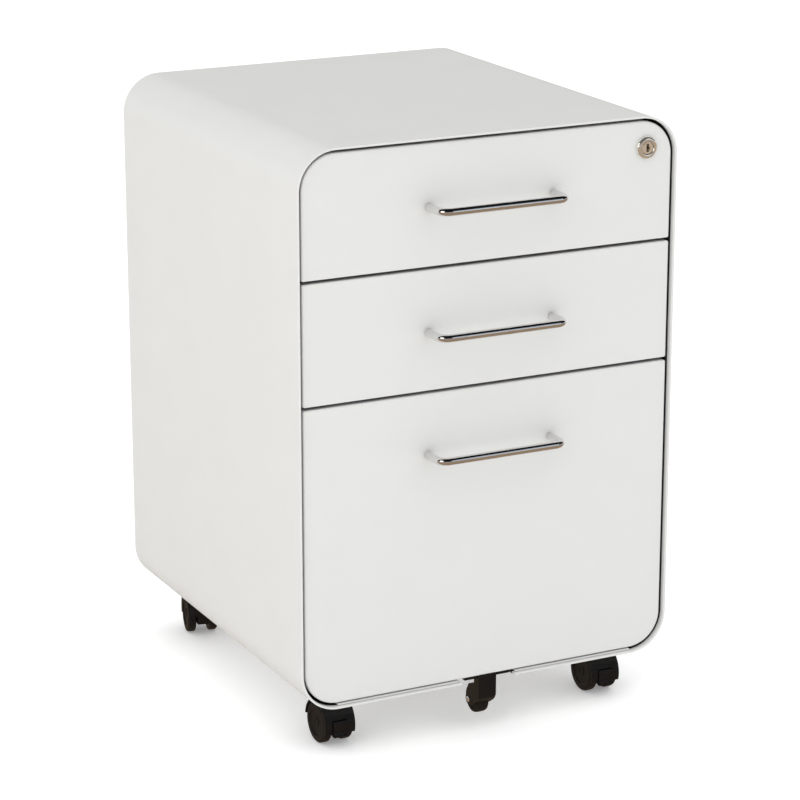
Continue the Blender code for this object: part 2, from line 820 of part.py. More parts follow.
def build_casters():
    """Four twin-wheel casters. The front pair trails forward and is braked. The rear pair trails back."""
    plate_shape = caster_plate_mesh()
    hood_shapes = {braked: caster_hood_mesh(braked) for braked in (True, False)}
    axle_shape = caster_axle_mesh()
    wheel_shape = caster_wheel_mesh()
    lever_shape = brake_lever_mesh()
    front_y = CASE_FRONT + FRONT_CASTER_SETBACK
    rear_y = CASE_BACK - REAR_CASTER_SETBACK
    corners = {
        "front_left": (-CASTER_X, front_y, 0),
        "front_right": (CASTER_X, front_y, 0),
        "rear_left": (-CASTER_X, rear_y, 167),
        "rear_right": (CASTER_X, rear_y, 180),
    }

    def copy(name, shape, colour, roughness, metallic, parent, location=(0.0, 0.0, 0.0), tilt=0.0):
        obj = bpy.data.objects.new(name, shape.copy())
        keep(obj, paint(name, colour, roughness, metallic))
        obj.parent = parent
        obj.location = location
        obj.rotation_euler = (0.0, math.radians(tilt), 0.0)

    for corner, (x, y, turn) in corners.items():
        name = f"{corner}_caster"
        braked = corner.startswith("front")
        axle_place = (0.0, -CASTER_TRAIL, CASTER_WHEEL)
        swivel = empty(f"{name}_swivel", (x, y, 0.0), turn)
        plate = bpy.data.objects.new(f"{name}_plate", plate_shape.copy())
        plate.location = (x, y, 0.0)
        keep(plate, paint(f"{name}_plate", ZINC, 0.38, 1.0))
        copy(f"{name}_hood", hood_shapes[braked], BLACK, 0.4, 0.0, swivel)
        copy(f"{name}_axle", axle_shape, ZINC, 0.3, 1.0, swivel, axle_place, 90)
        copy(f"{name}_left_wheel", wheel_shape, BLACK, 0.45, 0.0, swivel, axle_place, -90)
        copy(f"{name}_right_wheel", wheel_shape, BLACK, 0.45, 0.0, swivel, axle_place, 90)
        if braked:
            copy(f"{name}_brake", lever_shape, BLACK, 0.45, 0.0, swivel, axle_place)


build_case()
build_drawers()
build_lock_bar()
build_casters()
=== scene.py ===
"""A white three-drawer mobile pedestal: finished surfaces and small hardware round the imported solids.

Metres, +Z up, the drawer fronts face -Y. Sections follow the cabinet as it is put together.
"""

import math

import bmesh
import bpy
from mathutils import Matrix, Vector


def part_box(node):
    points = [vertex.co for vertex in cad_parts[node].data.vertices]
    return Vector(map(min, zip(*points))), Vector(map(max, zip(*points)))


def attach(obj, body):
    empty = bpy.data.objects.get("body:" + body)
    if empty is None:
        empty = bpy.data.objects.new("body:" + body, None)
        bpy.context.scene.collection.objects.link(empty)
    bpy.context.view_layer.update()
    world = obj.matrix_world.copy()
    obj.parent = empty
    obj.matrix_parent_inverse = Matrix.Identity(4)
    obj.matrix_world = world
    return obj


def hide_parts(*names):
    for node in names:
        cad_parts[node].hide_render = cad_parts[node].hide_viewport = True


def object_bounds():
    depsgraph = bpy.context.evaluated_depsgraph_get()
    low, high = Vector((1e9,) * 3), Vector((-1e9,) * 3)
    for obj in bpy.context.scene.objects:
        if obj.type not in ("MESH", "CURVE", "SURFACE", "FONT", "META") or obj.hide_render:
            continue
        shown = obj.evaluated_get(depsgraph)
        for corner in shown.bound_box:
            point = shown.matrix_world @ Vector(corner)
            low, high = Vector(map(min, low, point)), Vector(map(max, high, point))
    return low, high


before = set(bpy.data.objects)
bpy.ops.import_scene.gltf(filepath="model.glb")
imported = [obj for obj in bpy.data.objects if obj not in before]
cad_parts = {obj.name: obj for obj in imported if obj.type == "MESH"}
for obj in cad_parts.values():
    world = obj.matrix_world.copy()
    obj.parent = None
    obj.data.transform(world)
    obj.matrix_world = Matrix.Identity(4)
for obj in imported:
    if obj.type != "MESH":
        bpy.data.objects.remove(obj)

solid_low, solid_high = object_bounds()
scene = bpy.context.scene


# ---------------------------------------------------------------- studio
# A white paper sweep, one big softbox to the left of the cabinet and a weaker fill on the right.
# Polished metal sees a dark ceiling and a bright band of wall in the world, and a brown floor that is a
# painted reflection: the paper glows brown to glossy rays.


class Wire:
    """One socket of a node tree. Arithmetic on it adds Math nodes, and node() adds any other node."""

    def __init__(self, tree, socket=None):
        self.tree = tree
        self.socket = socket

    def node(self, kind, settings, inputs, output=0):
        """Adds a node: its settings, then its sockets' values or links. Gives the output asked for."""
        made = self.tree.nodes.new(kind)
        for name, value in settings.items():
            if name == "stops":
                ramp = made.color_ramp
                while len(ramp.elements) < len(value):
                    ramp.elements.new(0.5)
                for element, (place, colour) in zip(ramp.elements, value):
                    element.position = place
                    element.color = (*colour, 1.0)
            else:
                setattr(made, name, value)
        for name, value in inputs.items():
            if isinstance(value, Wire):
                self.tree.links.new(value.socket, made.inputs[name])
            else:
                made.inputs[name].default_value = value
        return Wire(self.tree, made.outputs[output] if made.outputs else None)

    def maths(self, operation, *values, clamp=False):
        settings = {"operation": operation, "use_clamp": clamp}
        return self.node("ShaderNodeMath", settings, dict(enumerate(values)))

    def __add__(self, other):
        return self.maths("ADD", self, other)

    def __radd__(self, other):
        return self.maths("ADD", other, self)

    def __sub__(self, other):
        return self.maths("SUBTRACT", self, other)

    def __rsub__(self, other):
        return self.maths("SUBTRACT", other, self)

    def __mul__(self, other):
        return self.maths("MULTIPLY", self, other)

    def __rmul__(self, other):
        return self.maths("MULTIPLY", other, self)

    def band(self, low, high):
        """0 below low, 1 above high, and a smooth rise between."""
        ends = {"Value": self, "From Min": low, "From Max": high}
        return self.node("ShaderNodeMapRange", {"interpolation_type": "SMOOTHSTEP"}, ends)

    def blend(self, first, second):
        """The colour first where this is 0 and second where it is 1."""
        sockets = {0: self, 6: first, 7: second}
        return self.node("ShaderNodeMix", {"data_type": "RGBA"}, sockets, 2)


def tint(red, green, blue):
    return (red, green, blue, 1.0)


def studio_world():
    world = bpy.data.worlds.new("studio")
    scene.world = world
    world.use_nodes = True
    tree = world.node_tree
    tree.nodes.clear()
    start = Wire(tree)
    direction = start.node("ShaderNodeTexCoord", {}, {}, "Generated")
    height = start.node("ShaderNodeSeparateXYZ", {}, {"Vector": direction}, "Z")
    horizon = height.band(-0.02, 0.05).blend(tint(0.34, 0.25, 0.17), tint(0.66, 0.69, 0.75))
    wall = height.band(0.12, 0.19).blend(horizon, tint(0.010, 0.010, 0.011))
    glossy = start.node("ShaderNodeLightPath", {}, {}, "Is Glossy Ray")
    paper = height.band(0.25, 0.95).blend(tint(0.62, 0.63, 0.665), tint(1.64, 1.645, 1.62))
    seen = start.node("ShaderNodeLightPath", {}, {}, "Is Camera Ray")
    colour = seen.blend(glossy.blend(paper, wall), tint(1.2, 1.2, 1.2))
    shade = start.node("ShaderNodeBackground", {}, {"Color": colour, "Strength": 0.86})
    start.node("ShaderNodeOutputWorld", {}, {"Surface": shade})


def studio_floor():
    half = 30.0
    form = bmesh.new()
    bmesh.ops.create_grid(form, x_segments=1, y_segments=1, size=half)
    mesh = bpy.data.meshes.new("floor")
    form.to_mesh(mesh)
    form.free()
    floor = bpy.data.objects.new("floor", mesh)
    floor.location.z = solid_low.z - 0.0002
    scene.collection.objects.link(floor)
    paper = bpy.data.materials.new("floor_paper_with_painted_reflection")
    paper.use_nodes = True
    tree = paper.node_tree
    tree.nodes.clear()
    start = Wire(tree)
    matt = start.node("ShaderNodeBsdfDiffuse", {}, {"Color": tint(0.93, 0.93, 0.93)})
    glow = start.node("ShaderNodeEmission", {}, {"Color": tint(1.0, 1.0, 1.0), "Strength": 0.22})
    lit = start.node("ShaderNodeAddShader", {}, {0: matt, 1: glow})
    # Painted reflection: to glossy rays the white paper glows brown, so polished metal shows a brown floor.
    painted_floor_reflection = start.node("ShaderNodeEmission", {}, {"Color": tint(0.34, 0.25, 0.17), "Strength": 1.0})
    glossy = start.node("ShaderNodeLightPath", {}, {}, "Is Glossy Ray")
    shade = start.node("ShaderNodeMixShader", {}, {0: glossy, 1: lit, 2: painted_floor_reflection})
    start.node("ShaderNodeOutputMaterial", {}, {"Surface": shade})
    mesh.materials.append(paper)


def softbox(name, place, size, power, colour):
    """A rectangular area light that faces the middle of the cabinet."""
    light = bpy.data.lights.new(name, "AREA")
    light.shape = "RECTANGLE"
    light.size, light.size_y = size
    light.energy = power
    light.color = colour
    lamp = bpy.data.objects.new(name, light)
    lamp.location = place
    aim = (solid_low + solid_high) / 2
    lamp.rotation_euler = (aim - Vector(place)).to_track_quat("-Z", "Y").to_euler()
    scene.collection.objects.link(lamp)


def studio_camera():
    """A long lens, turned to the cabinet's left and a little above it. There is no shift and no blur."""
    turn = math.radians(26.742)
    dip = math.radians(16.637)
    ahead = Vector((math.sin(turn) * math.cos(dip), math.cos(turn) * math.cos(dip), -math.sin(dip)))
    middle = (solid_low + solid_high) / 2
    aim = middle + Vector((0.0018, -0.0003, -0.0127))
    data = bpy.data.cameras.new("camera")
    data.lens = 134.18
    data.sensor_width = 36.0
    data.clip_end = 200.0
    camera = bpy.data.objects.new("camera", data)
    camera.location = aim - ahead * 2.93
    camera.rotation_euler = (math.radians(90) - dip, 0.0, -turn)
    scene.collection.objects.link(camera)
    scene.camera = camera


scene.view_settings.view_transform = "Standard"
studio_world()
studio_floor()
softbox("softbox_left", (-2.6, -1.5, 1.5), (1.6, 1.8), 14.0, (1.0, 0.99, 0.97))
softbox("softbox_right", (1.8, -2.6, 1.3), (1.2, 1.4), 3.0, (0.80, 0.90, 1.0))
studio_camera()


# ---------------------------------------------------------------- wrapped shell
# One 1.2 mm sheet of steel, folded round into a tube with four 38 mm bends and powder coated white.
# Both open edges are hemmed inwards, and the ends of the sheet meet in a butt seam under the cabinet.


def new_finish(name):
    """An empty material: the material, a wire to add nodes with, and the object coordinates in metres."""
    material = bpy.data.materials.new(name)
    material.use_nodes = True
    material.node_tree.nodes.clear()
    start = Wire(material.node_tree)
    return material, start, start.node("ShaderNodeTexCoord", {}, {}, "Object")


def noise(point, size, detail=2.0, roughness=0.5):
    """Soft noise from 0 to 1, whose lumps are about size metres across."""
    sockets = {"Vector": point, "Scale": 1.0 / size, "Detail": detail, "Roughness": roughness}
    return point.node("ShaderNodeTexNoise", {}, sockets)


def bump(height, depth, below=None):
    """A Bump node: height 1 stands depth metres proud."""
    sockets = {"Height": height, "Distance": depth, "Strength": 1.0}
    if below is not None:
        sockets["Normal"] = below
    return height.node("ShaderNodeBump", {}, sockets)


def close_finish(start, constants, links):
    """Ends a material in a Principled shader, with its constants set on the sockets themselves."""
    shader = start.node("ShaderNodeBsdfPrincipled", {}, {**constants, **links})
    start.node("ShaderNodeOutputMaterial", {}, {"Surface": shader})


def powder_coat(name, light, dark, gloss, gap_start=None, middle=None):
    """Baked powder: an orange-peel skin over sheet that is never quite flat, with a faint speckle.

    Past gap_start on Y, faces that look down are given a near-black painted shade for the shadow deep in the
    gaps. With a middle given, those are the faces that look towards it, as far back as it.
    """
    material, start, point = new_finish(name)
    skin = noise(point, 0.0016, 1.0)
    grain = noise(point, 0.00045, 2.0, 0.6)
    sheet = noise(point, 0.11, 1.0)
    clouds = noise(point, 0.045, 3.0)
    mix = (clouds * 0.55 + grain * 0.45).band(0.30, 0.72)
    waves = bump(sheet, 0.0002)
    peel = bump(skin, 0.000022, waves)
    pores = bump(grain, 0.000005, peel)
    roughness = gloss - 0.05 + clouds * 0.07 + grain * 0.03
    constants = {"Specular IOR Level": 0.5, "IOR": 1.5}
    colour = mix.blend(dark, light)
    # Painted shade: faces deep in the gaps round the drawers are coloured near-black for the shadow there.
    if gap_start is not None:
        straight_down = 0.9
        painted_gap_shade = tint(0.030, 0.030, 0.032)
        back = point.node("ShaderNodeSeparateXYZ", {}, {"Vector": point}, "Y")
        gap_shade_mask = back.band(gap_start, gap_start + 0.0012)
        normal = point.node("ShaderNodeNewGeometry", {}, {}, "Normal")
        if middle is None:
            facing = normal.node("ShaderNodeSeparateXYZ", {}, {"Vector": normal}, "Z") + straight_down
        else:
            gap_shade_mask = gap_shade_mask * back.maths("LESS_THAN", back, middle.y)
            step = "ShaderNodeVectorMath"
            outwards = point.node(step, {"operation": "SUBTRACT"}, {0: point, 1: middle})
            flat = outwards.node(step, {"operation": "MULTIPLY"}, {0: outwards, 1: (1, 0, 1)})
            facing = flat.node(step, {"operation": "DOT_PRODUCT"}, {0: flat, 1: normal}, "Value")
        gap_shade_mask = gap_shade_mask * facing.maths("LESS_THAN", facing, -0.02)
        colour = gap_shade_mask.blend(colour, painted_gap_shade)
    close_finish(start, constants, {"Base Color": colour, "Roughness": roughness, "Normal": pores})
    return material


shell_low, shell_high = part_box("case_shell")
PAINT = (tint(0.755, 0.752, 0.732), tint(0.742, 0.739, 0.719), 0.42)
WHITE_COAT = powder_coat("white_powder_coat", *PAINT)
# The shell's and the fronts' coats also carry painted shade, near-black inside the gaps round the drawers.
shell_gap = shell_low.y + 0.0050
SHELL_COAT_WITH_GAP_SHADE = powder_coat("white_powder_coat_with_painted_shade_round_the_shell", *PAINT, shell_gap, (shell_low + shell_high) / 2)
front_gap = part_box("top_drawer_front")[0].y + 0.0028
FRONT_COAT_WITH_GAP_SHADE = powder_coat("white_powder_coat_with_painted_gap_shade_on_the_fronts", *PAINT, front_gap)


def recipe(name, sizes):
    """A Geometry Nodes tree with a named input for each size, and the wires that carry them."""
    tree = bpy.data.node_groups.new(name, "GeometryNodeTree")
    tree.interface.new_socket("Geometry", in_out="OUTPUT", socket_type="NodeSocketGeometry")
    tree.interface.new_socket("Geometry", in_out="INPUT", socket_type="NodeSocketGeometry")
    for label, kind in sizes.items():
        tree.interface.new_socket(label, in_out="INPUT", socket_type="NodeSocket" + kind)
    entry = tree.nodes.new("NodeGroupInput")
    return tree, {socket.name: Wire(tree, socket) for socket in entry.outputs if socket.name}


def end_recipe(geometry, finish):
    real = geometry.node("GeometryNodeRealizeInstances", {}, {"Geometry": geometry})
    coated = real.node("GeometryNodeSetMaterial", {}, {"Geometry": real, "Material": finish})
    coated.node("NodeGroupOutput", {}, {"Geometry": coated})


def plain_mesh(obj):
    """The mesh that obj's modifiers give. The object itself is removed."""
    graph = bpy.context.evaluated_depsgraph_get()
    mesh = bpy.data.meshes.new_from_object(obj.evaluated_get(graph))
    bpy.data.objects.remove(obj)
    return mesh


def grown(tree, values, source=None):
    """Runs a recipe on a mesh, or on nothing, with its named inputs set, and gives the plain mesh."""
    maker = bpy.data.objects.new("maker", source or bpy.data.meshes.new("seed"))
    scene.collection.objects.link(maker)
    step = maker.modifiers.new("recipe", "NODES")
    step.node_group = tree
    for item in tree.interface.items_tree:
        if item.in_out == "INPUT" and item.name in values:
            step[item.identifier] = values[item.name]
    return plain_mesh(maker)


def settled(mesh, bevel=0.0, segments=2, angle=30.0, joins=(), cutters=()):
    """Joins and cuts a mesh, rounds its edges, and shades it so that its flat faces stay flat."""
    obj = bpy.data.objects.new("settling", mesh)
    scene.collection.objects.link(obj)
    for others, operation in ((joins, "UNION"), (cutters, "DIFFERENCE")):
        for other in others:
            step = obj.modifiers.new("solid", "BOOLEAN")
            step.operation = operation
            step.solver = "EXACT"
            step.object = other
    if bevel:
        step = obj.modifiers.new("round", "BEVEL")
        step.width = bevel
        step.segments = segments
        step.limit_method = "ANGLE"
        step.angle_limit = math.radians(angle)
    mesh = plain_mesh(obj)
    for spent in (*joins, *cutters):
        bpy.data.objects.remove(spent)
    mesh.shade_smooth()
    mesh.set_sharp_from_angle(angle=math.radians(angle))
    obj = bpy.data.objects.new("settling", mesh)
    scene.collection.objects.link(obj)
    obj.modifiers.new("even", "WEIGHTED_NORMAL").keep_sharp = True
    return plain_mesh(obj)


def put(name, mesh, finish, body, slot, *stands_for):
    """Makes a mesh a piece: its finish, the body it rides on and the solids it replaces. Its slot is not
    used.
    """
    mesh.name = name
    mesh.materials.clear()
    mesh.materials.append(finish)
    obj = bpy.data.objects.new(name, mesh)
    scene.collection.objects.link(obj)
    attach(obj, body)
    if stands_for:
        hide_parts(*stands_for)
    return obj


def arc(centre, radius, start, end, steps):
    """Points on a flat arc, both ends in, from one angle to another in degrees."""
    turns = [math.radians(start + (end - start) * step / steps) for step in range(steps + 1)]
    return [(centre[0] + radius * math.cos(turn), centre[1] + radius * math.sin(turn)) for turn in turns]


def box_form(low, high, bevel=0.0, segments=3, edges=None):
    """A bmesh box between two corners, with all its edges rounded, or those along one axis."""
    form = bmesh.new()
    bmesh.ops.create_cube(form, size=1.0)
    for vertex in form.verts:
        vertex.co = [low[k] if vertex.co[k] < 0 else high[k] for k in range(3)]
    chosen = list(form.edges)
    if edges is not None:
        chosen = [e for e in form.edges if abs((e.verts[0].co - e.verts[1].co)["XYZ".index(edges)]) > 1e-9]
    if bevel:
        bmesh.ops.bevel(form, geom=chosen, offset=bevel, segments=segments, profile=0.5, affect="EDGES")
    return form


def form_mesh(form, name="form"):
    mesh = bpy.data.meshes.new(name)
    form.to_mesh(mesh)
    form.free()
    return mesh


def tool(form):
    """A hidden object to cut or join with."""
    obj = bpy.data.objects.new("tool", form_mesh(form))
    scene.collection.objects.link(obj)
    obj.hide_render = True
    return obj


SHEET = 0.0012
HEM = 0.0022
HEM_DEPTH = 0.012
SHELL_BEND = 0.038

sweep_tree, sweep = recipe(
    "sheet_round_a_frame",
    {"Width": "Float", "Height": "Float", "Bend": "Float", "Bend Steps": "Int", "Place": "Vector"},
)
sides = {"Width": sweep["Width"], "Height": sweep["Height"]}
frame_line = sweep["Width"].node("GeometryNodeCurvePrimitiveQuadrilateral", {}, sides)
bends = {"Curve": frame_line, "Count": sweep["Bend Steps"], "Radius": sweep["Bend"], "Limit Radius": True}
frame_line = frame_line.node("GeometryNodeFilletCurve", {"mode": "POLY"}, bends)
section = frame_line.node("GeometryNodeMeshToCurve", {}, {"Mesh": sweep["Geometry"]})
tube = section.node("GeometryNodeCurveToMesh", {}, {"Curve": frame_line, "Profile Curve": section})
upright = {"Geometry": tube, "Translation": sweep["Place"], "Rotation": (math.radians(90), 0.0, 0.0)}
end_recipe(tube.node("GeometryNodeTransform", {}, upright), WHITE_COAT)


def hem_section(depth):
    """The sheet's cut face as (outwards, backwards) points: zero outwards is the outer skin."""
    nose = HEM / 2
    tuck = 0.0005
    front = arc((-nose, nose), nose, 0, -180, 8)
    front += [(-HEM, HEM_DEPTH - tuck), (-HEM + tuck, HEM_DEPTH), (-SHEET, HEM_DEPTH)]
    back = [(out, depth - place) for out, place in reversed(front)]
    return front + back


def loop_mesh(points):
    """A closed line of (x, y) points as a mesh with edges only."""
    mesh = bpy.data.meshes.new("section")
    count = len(points)
    mesh.from_pydata([(x, y, 0.0) for x, y in points], [(k, (k + 1) % count) for k in range(count)], [])
    return mesh


def wrapped_shell():
    width, depth, height = shell_high - shell_low
    middle = (shell_low + shell_high) / 2
    sizes = {
        "Width": width,
        "Height": height,
        "Bend": SHELL_BEND,
        "Bend Steps": 28,
        "Place": (middle.x, shell_low.y, middle.z),
    }
    mesh = grown(sweep_tree, sizes, loop_mesh(list(reversed(hem_section(depth)))))
    front, floor = shell_low.y, shell_low.z
    notch_side = 0.0283
    notch_end = front + 0.036
    seam_side = (-0.1222, -0.1218)
    below, above, groove_top = floor - 0.01, floor + 0.01, floor + 0.0004
    notch = box_form((-notch_side, front - 0.01, below), (notch_side, notch_end, above), 0.003, 6, "Z")
    lip_end = front + HEM_DEPTH + 0.0004
    lip_seam = box_form((seam_side[0], front - 0.01, below), (seam_side[1], lip_end, above))
    groove = box_form((seam_side[0], front, below), (seam_side[1], shell_high.y + 0.01, groove_top))
    mesh = settled(mesh, cutters=[tool(notch), tool(lip_seam), tool(groove)])
    put("wrapped_shell", mesh, SHELL_COAT_WITH_GAP_SHADE, "case", "white_powder_coat", "case_shell")


wrapped_shell()


# ---------------------------------------------------------------- back panel
# A shallow pressed pan that closes the back of the tube, 3 mm inside its rear hem.
# It is powder coated with the shell and held by small countersunk screws through its flange.


def rounded_outline(low, high, radii, inset=0.0, steps=10):
    """The points round a rectangle, moved inwards by inset. Radii go round from the low corner."""
    sides = (low, high)
    points = []
    for (across, up, start), radius in zip(((0, 0, 180), (1, 0, 270), (1, 1, 0), (0, 1, 90)), radii):
        centre = (
            sides[across][0] + (-radius if across else radius),
            sides[up][1] + (-radius if up else radius),
        )
        points += arc(centre, radius - inset, start, start + 90, steps)
    return points


def skinned(loops, closed=False):
    """A skin over rings of points that match one to one. The ends are capped, or meet if it is closed."""
    form = bmesh.new()
    rings = [[form.verts.new(point) for point in loop] for loop in loops]
    following = rings[1:] + rings[:1] if closed else rings[1:]
    for lower, upper in zip(rings, following):
        for k in range(len(lower)):
            j = (k + 1) % len(lower)
            form.faces.new((lower[k], lower[j], upper[j], upper[k]))
    if not closed:
        form.faces.new(rings[0])
        form.faces.new(rings[-1])
    bmesh.ops.recalc_face_normals(form, faces=form.faces)
    return form


def pan_section(face, rim, bend, hem):
    """A pan's wall as (inset, depth) points: from its face, round the bend to the rim and back inside."""
    away = 1 if rim > face else -1
    edge = 0.0003
    inner = bend - SHEET
    outside = [(place, face + away * (bend + over)) for place, over in arc((bend, 0.0), bend, 270, 180, 6)]
    inside = [(place, face + away * (bend + over)) for place, over in arc((bend, 0.0), inner, 180, 270, 3)]
    if hem:
        rolled = arc((SHEET, 0.0), SHEET, 180, 0, 8)
        lip = [(place, rim - away * (SHEET - over)) for place, over in rolled]
        lip += [(2 * SHEET, rim - away * hem), (SHEET, rim - away * hem)]
    else:
        lip = [(0.0, rim - away * edge), (edge, rim), (SHEET - edge, rim), (SHEET, rim - away * edge)]
    return outside + lip + inside


def pan(low, high, radii, face, rim, place, bend=0.0017, steps=10, hem=0.0):
    """A pressed pan. Its face has the corners low and high. place puts (across, up, depth) in space."""
    loops = []
    for inset, depth in pan_section(face, rim, bend, hem):
        outline = rounded_outline(low, high, radii, inset, steps)
        loops.append([place(across, up, depth) for across, up in outline])
    return skinned(loops)


def across_y(across, up, depth):
    return (across, depth, up)


def turned(profile, steps=32, closed=False):
    """A solid turned about Z from (radius, height) points that run down its outer side."""
    loops = []
    ring = [2 * math.pi * k / steps for k in range(steps)]
    for radius, height in profile:
        reach = max(radius, 1e-6)
        loops.append([(reach * math.cos(turn), reach * math.sin(turn), height) for turn in ring])
    form = skinned(loops, closed)
    bmesh.ops.remove_doubles(form, verts=form.verts, dist=4e-6)
    return form


def screw_head(radius, height):
    """A pan head with a cross recess, its seat on Z = 0."""
    profile = [(0.0, height)]
    for angle in (30, 60, 80):
        lean = math.radians(angle)
        profile.append((radius * math.sin(lean), height * (0.45 + 0.55 * math.cos(lean))))
    profile += [(radius, height * 0.35), (radius, -height * 0.2), (0.0, -height * 0.2)]
    recess = []
    for turn in (0, 90):
        length, width = radius * 0.55, radius * 0.11
        wing = box_form((-length, -width, height * 0.35), (length, width, height * 1.2))
        turned_by = Matrix.Rotation(math.radians(turn), 3, "Z")
        bmesh.ops.rotate(wing, verts=wing.verts, cent=(0, 0, 0), matrix=turned_by)
        recess.append(tool(wing))
    return settled(form_mesh(turned(profile, 20)), cutters=recess)


screw_tree, screws = recipe("screws_on_points", {"Head": "Object", "Aim": "Vector", "Turn": "Float"})
head = screws["Head"].node("GeometryNodeObjectInfo", {}, {"Object": screws["Head"]}, "Geometry")
facing = head.node("FunctionNodeAlignRotationToVector", {"axis": "Z"}, {"Vector": screws["Aim"]})
count = head.node("GeometryNodeInputIndex", {}, {})
spin = head.node("ShaderNodeCombineXYZ", {}, {"Z": count * screws["Turn"]})
turning = {"Rotation": facing, "Rotate By": spin}
spun = head.node("FunctionNodeRotateRotation", {"rotation_space": "LOCAL"}, turning)
placed = {"Points": screws["Geometry"], "Instance": head, "Rotation": spun}
heads = head.node("GeometryNodeInstanceOnPoints", {}, placed)


def zinc_plate(name, shade, gloss):
    """Bright zinc on steel: a cloudy, faintly blue-yellow film, finely brushed by the tumbling."""
    material, start, point = new_finish(name)
    red, green, blue = shade
    clouds = noise(point, 0.012, 3.0)
    grain = noise(point, 0.0004, 2.0, 0.6)
    film = noise(point, 0.005, 1.0)
    mix = clouds.band(0.3, 0.7).blend(tint(red * 0.93, green * 0.95, blue), tint(*shade))
    warm = film.band(0.5, 0.8).blend(mix, tint(red * 1.04, green, blue * 0.90))
    roughness = gloss - 0.07 + clouds * 0.12 + grain * 0.05
    pitting = bump(grain, 0.000008)
    close_finish(start, {"Metallic": 1.0}, {"Base Color": warm, "Roughness": roughness, "Normal": pitting})
    return material


ZINC = zinc_plate("zinc_plated_steel", (0.60, 0.615, 0.63), 0.36)
end_recipe(heads, ZINC)


def screw_row(name, places, aim, body, radius=0.0035, finish=ZINC, slot="zinc_plated_steel"):
    """Screw heads at these places, all facing along aim, as one piece."""
    template = bpy.data.objects.new("screw_head", screw_head(radius, radius * 0.62))
    scene.collection.objects.link(template)
    points = bpy.data.meshes.new("points")
    points.from_pydata([tuple(place) for place in places], [], [])
    mesh = grown(screw_tree, {"Head": template, "Aim": aim, "Turn": 1.9}, points)
    bpy.data.objects.remove(template)
    mesh.shade_smooth()
    mesh.set_sharp_from_angle(angle=math.radians(30))
    put(name, mesh, finish, body, slot)


def back_panel():
    low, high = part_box("back_panel")
    bend = SHELL_BEND - (low.x - shell_low.x)
    form = pan((low.x, low.z), (high.x, high.z), (bend,) * 4, high.y, low.y, across_y, steps=20)
    put("back_pan", settled(form_mesh(form)), WHITE_COAT, "case", "white_powder_coat", "back_panel")
    margin = 0.012
    across = (low.x + margin, high.x - margin)
    rows = [low.z + 0.075, (low.z + high.z) / 2, high.z - 0.075]
    places = [(x, high.y, z) for x in across for z in rows]
    places += [(x, high.y, z) for x in (-0.10, 0.10) for z in (low.z + margin, high.z - margin)]
    screw_row("back_panel_screws", places, (0, 1, 0), "case", 0.0032, WHITE_COAT, "white_powder_coat")


back_panel()


# ---------------------------------------------------------------- base plate and side liners
# Folded panels spot welded inside the shell. The base carries the casters, and its front lip shows under
# the file drawer. Each liner carries three slides, and has a row of slots for their hooks.

INSIDE_PAINT = powder_coat("inner_white_paint", tint(0.73, 0.73, 0.715), tint(0.71, 0.71, 0.70), 0.45)


def softened(node, width, segments=2, angle=30.0):
    """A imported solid's shape with its triangles merged into whole faces and its edges rounded."""
    form = bmesh.new()
    form.from_mesh(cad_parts[node].data)
    bmesh.ops.remove_doubles(form, verts=form.verts, dist=2e-6)
    bmesh.ops.dissolve_limit(form, angle_limit=math.radians(0.5), verts=form.verts, edges=form.edges)
    return settled(form_mesh(form), width, segments, angle)


put("base_pan", softened("base_plate", 0.0004), INSIDE_PAINT, "case", "inner_white_paint", "base_plate")

slot_tree, slots = recipe(
    "slots_along_a_liner",
    {"Count": "Int", "Start": "Vector", "Spacing": "Vector", "Slot Length": "Float", "Slot Width": "Float"},
)
line = {"Count": slots["Count"], "Start Location": slots["Start"], "Offset": slots["Spacing"]}
row = slots["Count"].node("GeometryNodeMeshLine", {"mode": "OFFSET"}, line)
through = 0.02
spans = {"X": through, "Y": slots["Slot Length"], "Z": slots["Slot Width"]}
size = row.node("ShaderNodeCombineXYZ", {}, spans)
punch = row.node("GeometryNodeMeshCube", {}, {"Size": size})
punches = row.node("GeometryNodeInstanceOnPoints", {}, {"Points": row, "Instance": punch})
solid_punches = punches.node("GeometryNodeRealizeInstances", {}, {"Geometry": punches})
pierced = {"Mesh 1": slots["Geometry"], "Mesh 2": solid_punches}
cut_out = {"operation": "DIFFERENCE"}
end_recipe(slots["Geometry"].node("GeometryNodeMeshBoolean", cut_out, pierced), INSIDE_PAINT)


def side_liner(side, sign):
    node = f"{side}_side_liner"
    low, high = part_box(node)
    mesh = softened(node, 0.0004)
    for slide in ("top", "middle", "file"):
        slide_low, slide_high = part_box(f"{side}_{slide}_slide_case_member")
        for height in (slide_low.z - 0.006, slide_high.z + 0.006):
            values = {
                "Count": 5,
                "Start": (sign * abs(low.x + high.x) / 2, low.y + 0.030, height),
                "Spacing": (0.0, 0.070, 0.0),
                "Slot Length": 0.009,
                "Slot Width": 0.0032,
            }
            mesh = grown(slot_tree, values, mesh)
    put(f"{side}_liner", settled(mesh), INSIDE_PAINT, "case", "inner_white_paint", node)


side_liner("left", -1)
side_liner("right", 1)


# ---------------------------------------------------------------- ball slides
# Roll-formed channels of bright zinc-plated steel, riveted to the liners and the trays. Steel balls run in
# a thin retainer between each pair of members: two members a side on the box drawers, three on the file one.


